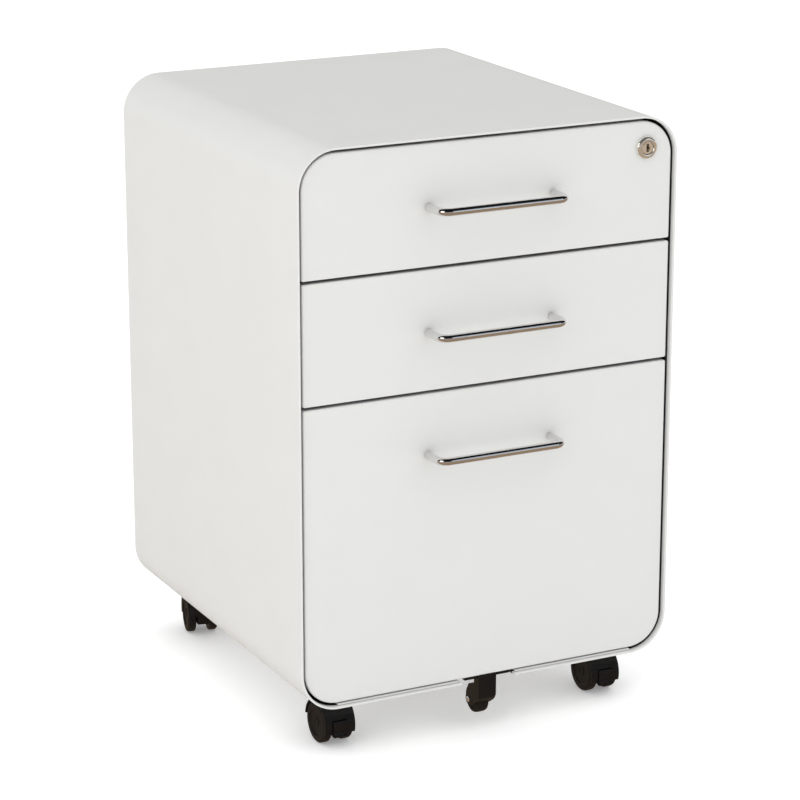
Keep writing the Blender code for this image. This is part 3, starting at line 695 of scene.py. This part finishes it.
def bent_line(path, bend, steps=6):
    """A line of corners in the plane, with each one rounded: pairs of a place and its left-hand normal."""
    corners = [Vector(corner) for corner in path]
    line = []
    for k, here in enumerate(corners):
        before = (here - corners[k - 1] if k else corners[1] - here).normalized()
        normal = Vector((-before.y, before.x))
        if k in (0, len(corners) - 1):
            line.append((here, normal))
            continue
        after = (corners[k + 1] - here).normalized()
        turn = math.atan2(before.x * after.y - before.y * after.x, before.dot(after))
        side = 1 if turn > 0 else -1
        centre = here - before * bend * math.tan(abs(turn) / 2) + normal * bend * side
        for step in range(steps + 1):
            out = Matrix.Rotation(turn * step / steps, 2) @ normal
            line.append((centre - out * bend * side, out))
    return line


def folded_strip(path, thickness=SHEET, bend=0.001):
    """The cut face of a sheet bent along a centre line, as a closed line of points."""
    line = bent_line(path, bend)
    left = [place + normal * thickness / 2 for place, normal in line]
    right = [place - normal * thickness / 2 for place, normal in reversed(line)]
    return left + right


def along_y(points, ends):
    return skinned([[(across, end, up) for across, up in points] for end in ends])


def slide_member(node, sign, outside, web, reach, lip, body, slots_at=()):
    """One channel. Depths are measured from the liner: the web's face, and how far the flanges reach."""
    low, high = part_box(node)
    middle, half_height = (low.z + high.z) / 2, (high.z - low.z) / 2
    inward = math.copysign(SHEET / 2, reach - web)
    flange = half_height - SHEET / 2
    half = [(web + inward, flange)]
    if lip:
        half += [(reach - inward, flange), (reach - inward, half_height - SHEET - lip)]
    else:
        half.append((reach, flange))
    path = [*reversed(half), *((depth, -up) for depth, up in half)]
    points = [(sign * (outside - depth), middle + up) for depth, up in folded_strip(path)]
    mesh = form_mesh(along_y(points, (low.y, high.y)))
    for start in slots_at:
        values = {
            "Count": 5,
            "Start": (sign * (outside - web - inward), low.y + start, middle),
            "Spacing": (0.0, 0.064, 0.0),
            "Slot Length": 0.010,
            "Slot Width": 0.0046,
        }
        mesh = grown(slot_tree, values, mesh)
    put(f"{node}_channel", settled(mesh), ZINC, body, "zinc_plated_steel", node)


ball_tree, balls = recipe(
    "balls_in_a_retainer",
    {"Count": "Int", "Start": "Vector", "Spacing": "Vector", "Radius": "Float"},
)
line = {"Count": balls["Count"], "Start Location": balls["Start"], "Offset": balls["Spacing"]}
row = balls["Count"].node("GeometryNodeMeshLine", {"mode": "OFFSET"}, line)
ball = row.node("GeometryNodeMeshUVSphere", {}, {"Segments": 20, "Rings": 12, "Radius": balls["Radius"]})
ball = ball.node("GeometryNodeSetShadeSmooth", {}, {"Geometry": ball})
rolling = row.node("GeometryNodeInstanceOnPoints", {}, {"Points": row, "Instance": ball})
both = rolling.node("GeometryNodeJoinGeometry", {}, {"Geometry": rolling})
both.tree.links.new(balls["Geometry"].socket, both.socket.node.inputs["Geometry"])
end_recipe(both, ZINC)


def ball_row(name, sign, outside, depth, heights, radius, middle, body):
    """A row of balls above and below the slide's middle, each in its own thin strip."""
    count, pitch = 17, 0.0062
    length = count * pitch
    start = (shell_low.y + shell_high.y) / 2 - length / 2
    across = sign * (outside - depth)
    whole = bmesh.new()
    for way in (-1, 1):
        strip_z = sorted(middle + way * height for height in heights)
        strip_low = (across - 0.0002, start, strip_z[0])
        strip = box_form(strip_low, (across + 0.0002, start + length, strip_z[1]))
        part = form_mesh(strip)
        values = {
            "Count": count,
            "Start": (across, start + pitch / 2, (strip_z[0] + strip_z[1]) / 2),
            "Spacing": (0.0, pitch, 0.0),
            "Radius": radius,
        }
        whole.from_mesh(grown(ball_tree, values, part))
    mesh = form_mesh(whole)
    mesh.set_sharp_from_angle(angle=math.radians(30))
    put(name, mesh, ZINC, body, "zinc_plated_steel")


def slides_of(drawer, side, sign):
    name = f"{side}_{drawer}_slide"
    low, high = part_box(f"{name}_case_member")
    outside = max(abs(low.x), abs(high.x))
    middle = (low.z + high.z) / 2
    body = f"{drawer}_drawer"
    thickness = 0.0125
    if drawer == "file":
        slide_member(f"{name}_case_member", sign, outside, 0.0, 0.0110, 0.0030, "case")
        rider = "file_slide_middle"
        slide_member(f"{name}_middle_member", sign, outside, 0.0030, 0.0098, 0.0020, rider, (0.03,))
        slide_member(f"{name}_drawer_member", sign, outside, thickness, 0.0054, 0.0, body, (0.02,))
        ball_row(f"{name}_outer_balls", sign, outside, 0.0066, (0.0168, 0.0210), 0.0021, middle, "case")
        ball_row(f"{name}_inner_balls", sign, outside, 0.0070, (0.0118, 0.0150), 0.0016, middle, rider)
    else:
        slide_member(f"{name}_case_member", sign, outside, 0.0, 0.0105, 0.0025, "case")
        slide_member(f"{name}_drawer_member", sign, outside, thickness, 0.0030, 0.0, body, (0.02,))
        ball_row(f"{name}_balls", sign, outside, 0.0062, (0.0114, 0.0160), 0.0024, middle, "case")
    across = sign * (outside - SHEET)
    places = [(across, low.y + forward, middle) for forward in (0.030, 0.130, 0.230, 0.320)]
    screw_row(f"{name}_rivets", places, (-sign, 0, 0), "case", 0.0024)


for drawer in ("top", "middle", "file"):
    slides_of(drawer, "left", -1)
    slides_of(drawer, "right", 1)


# ---------------------------------------------------------------- drawer fronts and trays
# Each front is a pressed pan, powder coated outside, with outer corners that follow the shell's bends.
# It is screwed to a folded tray, which carries the slides' inner members and the catch for the lock bar.


def drawer_front(drawer, cuts=()):
    node = f"{drawer}_drawer_front"
    low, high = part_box(node)
    corner = SHELL_BEND - (low.x - shell_low.x)
    square = 0.0019
    radii = {
        "top": (square, square, corner, corner),
        "middle": (square,) * 4,
        "file": (corner, corner, square, square),
    }[drawer]
    form = pan((low.x, low.z), (high.x, high.z), radii, low.y, high.y, across_y, steps=24)
    mesh = settled(form_mesh(form), cutters=cuts)
    put(f"{drawer}_front_pan", mesh, FRONT_COAT_WITH_GAP_SHADE, f"{drawer}_drawer", "white_powder_coat", node)


def upright(across, back, height):
    return (across, back, height)


def drawer_tray(drawer):
    node = f"{drawer}_drawer_tray"
    low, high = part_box(node)
    side = -low.x
    hem = 0.0 if drawer == "file" else 0.009
    corners = (0.0026,) * 4
    form = pan((-side, low.y), (side, high.y), corners, low.z, high.z, upright, steps=8, hem=hem)
    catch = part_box("lock_bar")[0].y + 0.0050
    top = {"top": 0.528, "middle": 0.411, "file": 0.262}[drawer]
    hook = box_form((side - SHEET / 2, catch, top - 0.012), (high.x, catch + 0.002, top), 0.0004, 2)
    mesh = settled(form_mesh(form), joins=[tool(hook)])
    put(f"{drawer}_tray_box", mesh, INSIDE_PAINT, f"{drawer}_drawer", "inner_white_paint", node)
    handle_low, handle_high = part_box(f"{drawer}_drawer_handle")
    rod = (handle_high.z - handle_low.z) / 2
    across = handle_high.x - rod
    height = handle_low.z + rod
    places = [(x, low.y + SHEET, height) for x in (-across, across)]
    places += [(x, low.y + SHEET, low.z + 0.020) for x in (-0.140, 0.140)]
    screw_row(f"{drawer}_front_screws", places, (0, 1, 0), f"{drawer}_drawer", 0.0044)


def lock_hole():
    place = (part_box("lock_plug")[0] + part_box("lock_plug")[1]) / 2
    form = turned([(0.0, 0.02), (0.0098, 0.02), (0.0098, -0.02), (0.0, -0.02)], 64)
    quarter = Matrix.Rotation(math.radians(90), 3, "X")
    bmesh.ops.rotate(form, verts=form.verts, cent=(0, 0, 0), matrix=quarter)
    bmesh.ops.translate(form, verts=form.verts, vec=(place.x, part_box("top_drawer_front")[0].y, place.z))
    return form


drawer_front("top", [tool(lock_hole())])
drawer_front("middle")
drawer_front("file")
for drawer in ("top", "middle", "file"):
    drawer_tray(drawer)


# ---------------------------------------------------------------- hanging-file rails
# Two folded strips of zinc-plated steel on the file tray's walls. The hooks of hanging files ride on them.


def file_rail(side, sign):
    node = f"{side}_file_rail"
    low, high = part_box(node)
    outside, inside = sorted((abs(low.x), abs(high.x)), reverse=True)
    half = SHEET / 2
    shelf = high.z - 0.009 + half
    path = [
        (outside - half, low.z),
        (outside - half, shelf),
        (inside + half, shelf),
        (inside + half, high.z),
    ]
    points = [(sign * across, up) for across, up in folded_strip(path)]
    mesh = settled(form_mesh(along_y(points, (low.y, high.y))), 0.0002, 1)
    put(f"{side}_hanging_rail", mesh, ZINC, "file_drawer", "zinc_plated_steel", node)
    across = sign * (outside - SHEET)
    places = [(across, low.y + forward, low.z + 0.007) for forward in (0.03, 0.18, 0.33)]
    screw_row(f"{side}_rail_rivets", places, (-sign, 0, 0), "file_drawer", 0.0026)


file_rail("left", -1)
file_rail("right", 1)


# ---------------------------------------------------------------- handles
# One steel rod each, bent at both ends and bright chromed. A screw from inside holds each end.


def polished(name, shade, gloss, scratch, metallic=1.0):
    """Plated and buffed metal: a clean mirror with hairline wiping marks and a breath of haze."""
    material, start, point = new_finish(name)
    stretch = point.node("ShaderNodeVectorMath", {"operation": "MULTIPLY"}, {0: point, 1: (0.03, 1.0, 1.0)})
    hairs = noise(stretch, 0.0003, 2.0, 0.6)
    haze = noise(point, 0.006, 2.0)
    red, green, blue = shade
    colour = haze.band(0.3, 0.8).blend(tint(red, green, blue), tint(red * 0.96, green * 0.96, blue * 0.97))
    roughness = gloss + haze.band(0.45, 0.85) * 0.05 + hairs.band(0.66, 0.8) * 0.08
    marks = bump(hairs, scratch)
    links = {"Base Color": colour, "Roughness": roughness, "Normal": marks}
    close_finish(start, {"Metallic": metallic}, links)
    return material


CHROME = polished("chrome_rod", (0.80, 0.79, 0.78), 0.05, 0.0000006)


def handle(drawer):
    node = f"{drawer}_drawer_handle"
    low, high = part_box(node)
    radius = (high.z - low.z) / 2
    half = high.x - radius
    bar = low.y + radius
    height = low.z + radius
    path = [(-half, high.y), (-half, bar), (half, bar), (half, high.y)]
    ring = [2 * math.pi * k / 48 for k in range(48)]
    loops = []
    for place, out in bent_line(path, 0.009, 20):
        loops.append(
            [
                (
                    place.x + out.x * radius * math.cos(turn),
                    place.y + out.y * radius * math.cos(turn),
                    height + radius * math.sin(turn),
                )
                for turn in ring
            ]
        )
    rod_mesh = settled(form_mesh(skinned(loops)))
    put(f"{drawer}_handle_rod", rod_mesh, CHROME, f"{drawer}_drawer", "chrome_rod", node)


for drawer in ("top", "middle", "file"):
    handle(drawer)


# ---------------------------------------------------------------- cam lock
# A nickel-plated die-cast housing in the top front, with a plug that turns in it and a steel cam behind.
# Brass wafers show deep in the plug's keyway.

# The plug's nickel is partly real plating and partly painted reflection: its warm beige tint and matt share
# stand in for the brown floor it reflects.
NICKEL_WITH_PAINTED_REFLECTION = polished("nickel_lock", (0.90, 0.81, 0.68), 0.12, 0.000002, 0.72)
BRIGHT_NICKEL = polished("nickel_lock_flange", (0.95, 0.92, 0.85), 0.09, 0.000002, 0.88)
BRASS = polished("wafer_brass", (0.62, 0.47, 0.24), 0.28, 0.000003)


def facing_front(form, place):
    """Turns a form that stands on Z to face -Y, and moves it to its place."""
    quarter = Matrix.Rotation(math.radians(90), 3, "X")
    bmesh.ops.rotate(form, verts=form.verts, cent=(0, 0, 0), matrix=quarter)
    bmesh.ops.translate(form, verts=form.verts, vec=place)
    return form


def cam_lock():
    low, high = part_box("lock_plug")
    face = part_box("top_drawer_front")[0].y
    place = Vector(((low.x + high.x) / 2, face, (low.z + high.z) / 2))
    bore = 0.0063
    crown = 0.0078
    profile = [(bore, 0.0030), (bore + 0.0004, 0.0034), (crown, 0.0036)]
    for step in range(1, 11):
        lean = math.radians(9 * step)
        profile.append((crown + 0.0032 * math.sin(lean), 0.0004 + 0.0032 * math.cos(lean)))
    profile += [(0.0110, 0.0002), (0.0095, 0.0002), (0.0095, -0.0105), (bore, -0.0105)]
    housing = facing_front(turned(profile, 72, closed=True), place)
    barrel = settled(form_mesh(housing))
    put("lock_barrel", barrel, BRIGHT_NICKEL, "top_drawer", "nickel_lock", "lock_housing")

    radius = bore - 0.0003
    edge = 0.0003
    plug_face = 0.0031
    plug_end = -0.0120
    profile = [(0.0, plug_face), (0.0047, plug_face), (0.0051, plug_face - 0.0003)]
    profile += [(radius - edge, plug_face - 0.0003), (radius, plug_face - 0.0003 - edge)]
    profile += [(radius, plug_end), (0.0, plug_end)]
    plug = facing_front(turned(profile, 72), place)
    keyway = box_form((-0.0015, -0.0038, -0.006), (0.0015, 0.0038, 0.01), 0.0003, 2, "Z")
    warding = box_form((0.0, -0.0016, -0.006), (0.0026, 0.0010, 0.01), 0.0003, 2, "Z")
    cuts = [tool(facing_front(form, place)) for form in (keyway, warding)]
    mesh = settled(form_mesh(plug), cutters=cuts)
    put("lock_core", mesh, NICKEL_WITH_PAINTED_REFLECTION, "lock_plug", "nickel_lock", "lock_plug")

    stack = bmesh.new()
    for k in range(5):
        rest = -0.0009 - 0.0009 * k
        drop = 0.0006 * (k % 2)
        wafer = box_form((-0.00095, -0.0037, rest - 0.0005), (0.00095, 0.0010 - drop, rest), 0.00008, 1)
        part = form_mesh(facing_front(wafer, place))
        stack.from_mesh(part)
    put("lock_wafers", settled(form_mesh(stack)), BRASS, "lock_plug", "nickel_lock")
    put("lock_cam_plate", softened("lock_cam", 0.0003), ZINC, "lock_plug", "zinc_plated_steel", "lock_cam")


cam_lock()


# ---------------------------------------------------------------- lock bar
# A zinc-plated strip that runs down behind the fronts in a nylon guide. The cam pushes it down.


def moulded(name, shade, gloss, depth):
    """Injection-moulded plastic: a fine spark-eroded grain, flow marks and a little dull wear."""
    material, start, point = new_finish(name)
    grain = noise(point, 0.00035, 2.0, 0.6)
    flow = noise(point, 0.009, 2.0)
    red, green, blue = shade
    colour = flow.band(0.3, 0.75).blend(tint(red, green, blue), tint(red * 1.25, green * 1.22, blue * 1.2))
    roughness = gloss - 0.05 + flow * 0.08 + grain * 0.06
    skin = bump(grain, depth)
    constants = {"IOR": 1.5, "Specular IOR Level": 0.22}
    close_finish(start, constants, {"Base Color": colour, "Roughness": roughness, "Normal": skin})
    return material


NATURAL_NYLON = moulded("nylon_guide", (0.62, 0.60, 0.52), 0.45, 0.00001)

put("lock_strip", softened("lock_bar", 0.0003), ZINC, "lock_bar", "zinc_plated_steel", "lock_bar")
guide = softened("lock_bar_guide", 0.0004)
put("strip_guide", guide, NATURAL_NYLON, "case", "nylon_guide", "lock_bar_guide")


# ---------------------------------------------------------------- casters
# Twin-wheel casters with a hood moulded in black nylon, each screwed to the base through its steel plate.
# The front pair has a toe brake. The hood turns on the plate's pivot pin, and the wheels on a steel axle.

BLACK_NYLON = moulded("black_nylon", (0.0066, 0.0060, 0.0058), 0.34, 0.000012)
TREAD = moulded("black_tread", (0.0085, 0.0078, 0.0070), 0.48, 0.00002)

TO_X = Matrix.Rotation(math.radians(90), 4, "Y")
HALF_WIDTH = 0.0156
WEB_HALF = 0.0063
WHEEL_INSIDE = 0.0069


def drum(radius, ends, turned_by=Matrix(), steps=96):
    """A cylinder on Z between two heights, then turned or moved."""
    ring = [2 * math.pi * k / steps for k in range(steps)]
    form = skinned([[(radius * math.cos(a), radius * math.sin(a), end) for a in ring] for end in ends])
    bmesh.ops.transform(form, matrix=turned_by, verts=form.verts)
    return form


def caster_hood(axle, radius, plate_low, braked):
    """The web between the wheels, the guard over them and the neck, about the swivel axis."""
    at_axle = Matrix.Translation(axle) @ TO_X
    hood_radius = 0.0225
    body = drum(hood_radius, (-HALF_WIDTH, HALF_WIDTH), at_axle)
    neck_top = plate_low - 0.0003
    neck_low = 0.024
    neck_radius = 0.0095
    chamfer = 0.0007
    neck_profile = [(0.0, neck_top), (neck_radius - chamfer, neck_top), (neck_radius, neck_top - chamfer)]
    neck = turned(neck_profile + [(neck_radius, neck_low), (0.0, neck_low)], 64)
    cuts = []
    for sign in (-1, 1):
        span = sorted((sign * WEB_HALF, sign * 0.03))
        cuts.append(tool(drum(radius + 0.0008, span, at_axle)))
        low = (min(sign * (WEB_HALF - 0.0001), sign * 0.03), axle.y + 0.004, -0.01)
        high = (max(sign * (WEB_HALF - 0.0001), sign * 0.03), 0.03, axle.z + 0.002)
        cuts.append(tool(box_form(low, high)))
    cuts.append(tool(box_form((-0.03, -0.06, -0.01), (0.03, 0.03, 0.0133))))
    cuts.append(tool(drum(0.0038, (0.0255, 0.06), steps=48)))
    cuts.append(tool(drum(0.0028, (-0.03, 0.03), at_axle, 48)))
    if braked:
        cuts.append(tool(box_form((-0.0082, -0.06, 0.005), (0.0082, axle.y - 0.0168, 0.0272), 0.001, 3)))
    return settled(form_mesh(body), 0.0005, 2, 35, joins=[tool(neck)], cutters=cuts)


def caster_wheel(radius):
    """One wheel, its outer face towards +Z: a dished disc, a raised ring and a grooved tread."""
    outside = HALF_WIDTH - 0.0001
    profile = [(0.0, outside - 0.0009)]
    profile += arc((0.0030, outside - 0.0009), 0.0004, 180, 90, 3)
    profile += [(0.0044, outside - 0.0005), (0.0050, outside - 0.0014), (0.0125, outside - 0.0012)]
    profile += arc((0.0142, outside - 0.0008), 0.0008, 150, 90, 4)
    profile += [(0.0172, outside)]
    profile += arc((0.0176, outside - 0.0024), 0.0024, 80, 0, 8)
    for groove in (0.0118, 0.0102):
        profile += [(radius, groove + 0.0003), (radius - 0.00025, groove), (radius, groove - 0.0003)]
    profile += arc((radius - 0.0014, WHEEL_INSIDE + 0.0014), 0.0014, 0, -90, 6)
    profile += [(0.0028, WHEEL_INSIDE), (0.0028, outside - 0.0022), (0.0, outside - 0.0022)]
    return settled(form_mesh(turned(profile, 96)))


def toe_brake():
    """The curved pedal in the hood's front, about the wheel axle, with a ribbed lip for the toe."""
    inner, outer, lip, half = 0.0206, 0.0236, 0.0268, 0.0075

    def at(radius, angle):
        turn = math.radians(angle)
        return (-radius * math.cos(turn), radius * math.sin(turn))

    points = [at(inner, angle) for angle in range(-23, 17, 3)]
    points += [at(outer, angle) for angle in range(16, -12, -3)]
    points += [at(lip, -14), at(lip, -16.5), at(lip, -19), at(outer, -23)]
    form = skinned([[(end, across, up) for across, up in points] for end in (-half, half)])
    ribs = []
    for k in range(5):
        across = -0.0052 + 0.0026 * k
        low, high = at(lip, -20), at(lip + 0.002, -12)
        rib_low = (across - 0.0004, high[0], low[1])
        rib_high = (across + 0.0004, low[0] + 0.0004, high[1])
        ribs.append(tool(box_form(rib_low, rib_high)))
    return settled(form_mesh(form), 0.0005, 2, 35, cutters=ribs)


def caster(corner, braked):
    name = f"{corner}_caster"
    plate_low, plate_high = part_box(f"{name}_plate")
    pivot = (plate_low + plate_high) / 2
    axle_low, axle_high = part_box(f"{name}_axle")
    axle = (axle_low + axle_high) / 2
    trail = Vector((axle.x - pivot.x, axle.y - pivot.y))
    turn = math.atan2(trail.x, -trail.y)
    radius = axle.z
    place = Matrix.Translation((pivot.x, pivot.y, 0.0)) @ Matrix.Rotation(turn, 4, "Z")
    local_axle = Vector((0.0, -trail.length, axle.z))
    thickness = 0.002
    steel_low = plate_high.z - thickness

    def settle_in(mesh, label, finish, body, slot, node, at=Matrix()):
        mesh.transform(place @ at)
        put(f"{corner}_{label}", mesh, finish, body, slot, node)

    half = 0.019
    plate = box_form((-half, -half, steel_low), (half, half, plate_high.z), 0.004, 6, "Z")
    pin = turned(
        [(0.0, 0.027), (0.0035, 0.0275), (0.0035, steel_low + 0.0005), (0.0, steel_low + 0.0005)], 48
    )
    plate_mesh = settled(form_mesh(plate), 0.0002, 1, 35, joins=[tool(pin)])
    plate_mesh.transform(Matrix.Translation((pivot.x, pivot.y, 0.0)))
    put(f"{corner}_plate_and_pin", plate_mesh, ZINC, "case", "zinc_plated_steel", f"{name}_plate")
    corners = [(pivot.x + x, pivot.y + y, steel_low) for x in (-0.014, 0.014) for y in (-0.014, 0.014)]
    screw_row(f"{corner}_plate_screws", corners, (0, 0, -1), "case", 0.0028)

    swivel = f"{corner}_swivel"
    hood = caster_hood(local_axle, radius, steel_low, braked)
    settle_in(hood, "hood", BLACK_NYLON, swivel, "black_nylon", f"{name}_hood")
    end = WHEEL_INSIDE + 0.0059
    half_pin = [(0.0, end), (0.0022, end), (0.0025, end - 0.0003)]
    whole_pin = half_pin + [(reach, -height) for reach, height in reversed(half_pin)]
    at_axle = Matrix.Translation(local_axle) @ TO_X
    pin_mesh = settled(form_mesh(turned(whole_pin, 48)))
    settle_in(pin_mesh, "axle_pin", ZINC, swivel, "zinc_plated_steel", f"{name}_axle", at_axle)
    for side, way in (("left", Matrix.Rotation(math.radians(180), 4, "X")), ("right", Matrix())):
        body, node = f"{corner}_{side}_wheel", f"{name}_{side}_wheel"
        settle_in(caster_wheel(radius), f"{side}_tyre", TREAD, body, "black_nylon", node, at_axle @ way)
    if braked:
        at = Matrix.Translation(local_axle)
        pedal_body = f"{corner}_brake"
        settle_in(toe_brake(), "toe_pedal", BLACK_NYLON, pedal_body, "black_nylon", f"{name}_brake", at)


for corner in ("front_left", "front_right", "rear_left", "rear_right"):
    caster(corner, corner.startswith("front"))


# ---------------------------------------------------------------- anti-tip wheel
# A fifth wheel under the file drawer, clear of the floor until the case tips. A moulded fork carries it on
# a domed steel rivet.


def anti_tip_wheel():
    low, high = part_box("anti_tip_axle")
    axle = (low + high) / 2
    fork_low, fork_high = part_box("anti_tip_fork")
    half_width = 0.0095
    wheel_low, wheel_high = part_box("anti_tip_wheel")
    wheel_half = (wheel_high.x - wheel_low.x) / 2
    wheel_radius = (wheel_high.z - wheel_low.z) / 2
    at_axle = Matrix.Translation(axle) @ TO_X

    neck_y = (shell_low.y + 0.0025, shell_low.y + 0.0120)
    neck = box_form((-half_width, neck_y[0], 0.0450), (half_width, neck_y[1], fork_high.z))
    arm = [(-0.0202, 0.0215), (-0.0202, 0.0089), (-0.0190, 0.0062), (-0.0177, 0.0043), (-0.0154, 0.0020)]
    arm += [(-0.0128, 0.0), (-0.0092, -0.0026), (-0.0054, -0.0048)]
    arm += arc((0.0, 0.0), 0.0060, 240, 390, 24)
    arm += [(0.0012, 0.0150), (-0.0016, 0.0168), (-0.0045, 0.0180), (-0.0107, 0.0200), (-0.0107, 0.0215)]
    arm_ends = (-half_width + 0.0001, half_width - 0.0001)
    arms = skinned([[(end, axle.y + back, axle.z + up) for back, up in arm] for end in arm_ends])
    flange_y = (shell_low.y + 0.0032, fork_high.y)
    flange_low = (fork_low.x, flange_y[0], fork_high.z - 0.002)
    flange = box_form(flange_low, (fork_high.x, flange_y[1], fork_high.z))
    slot = drum(wheel_radius + 0.0006, (-wheel_half - 0.0004, wheel_half + 0.0004), at_axle)
    bore = drum(0.0022, (-0.02, 0.02), at_axle, 32)
    joins = [tool(arms), tool(flange)]
    mesh = settled(form_mesh(neck), 0.0005, 3, 35, joins=joins, cutters=[tool(slot), tool(bore)])
    put("fifth_fork", mesh, BLACK_NYLON, "file_drawer", "black_nylon", "anti_tip_fork")

    seat = half_width + 0.0003
    top = half_width + 0.0020
    dome = [(0.0, top), (0.0008, top - 0.00005), (0.0016, top - 0.0002), (0.0023, top - 0.0005)]
    dome += [(0.0028, top - 0.0009), (0.0030, seat + 0.0003), (0.0030, seat), (0.0019, seat)]
    profile = dome + [(reach, -height) for reach, height in reversed(dome)]
    rivet = settled(form_mesh(turned(profile, 48)))
    rivet.transform(at_axle)
    bright = polished("chrome_rivet", (0.86, 0.86, 0.87), 0.12, 0.000002)
    put("fifth_rivet", rivet, bright, "file_drawer", "chrome_rivet", "anti_tip_axle")

    rim = [(0.0022, wheel_half), (0.0050, wheel_half), (0.0056, wheel_half - 0.0008)]
    rim += [(0.0100, wheel_half - 0.0008), (0.0106, wheel_half)]
    rim += [(wheel_radius - 0.0018, wheel_half), (wheel_radius - 0.0007, wheel_half - 0.0006)]
    rim += [(wheel_radius - 0.0002, wheel_half - 0.0018), (wheel_radius, wheel_half - 0.0036)]
    profile = rim + [(reach, -height) for reach, height in reversed(rim)]
    wheel = settled(form_mesh(turned(profile, 72, closed=True)))
    wheel.transform(at_axle)
    put("fifth_tyre", wheel, TREAD, "anti_tip_wheel", "black_nylon", "anti_tip_wheel")


anti_tip_wheel()
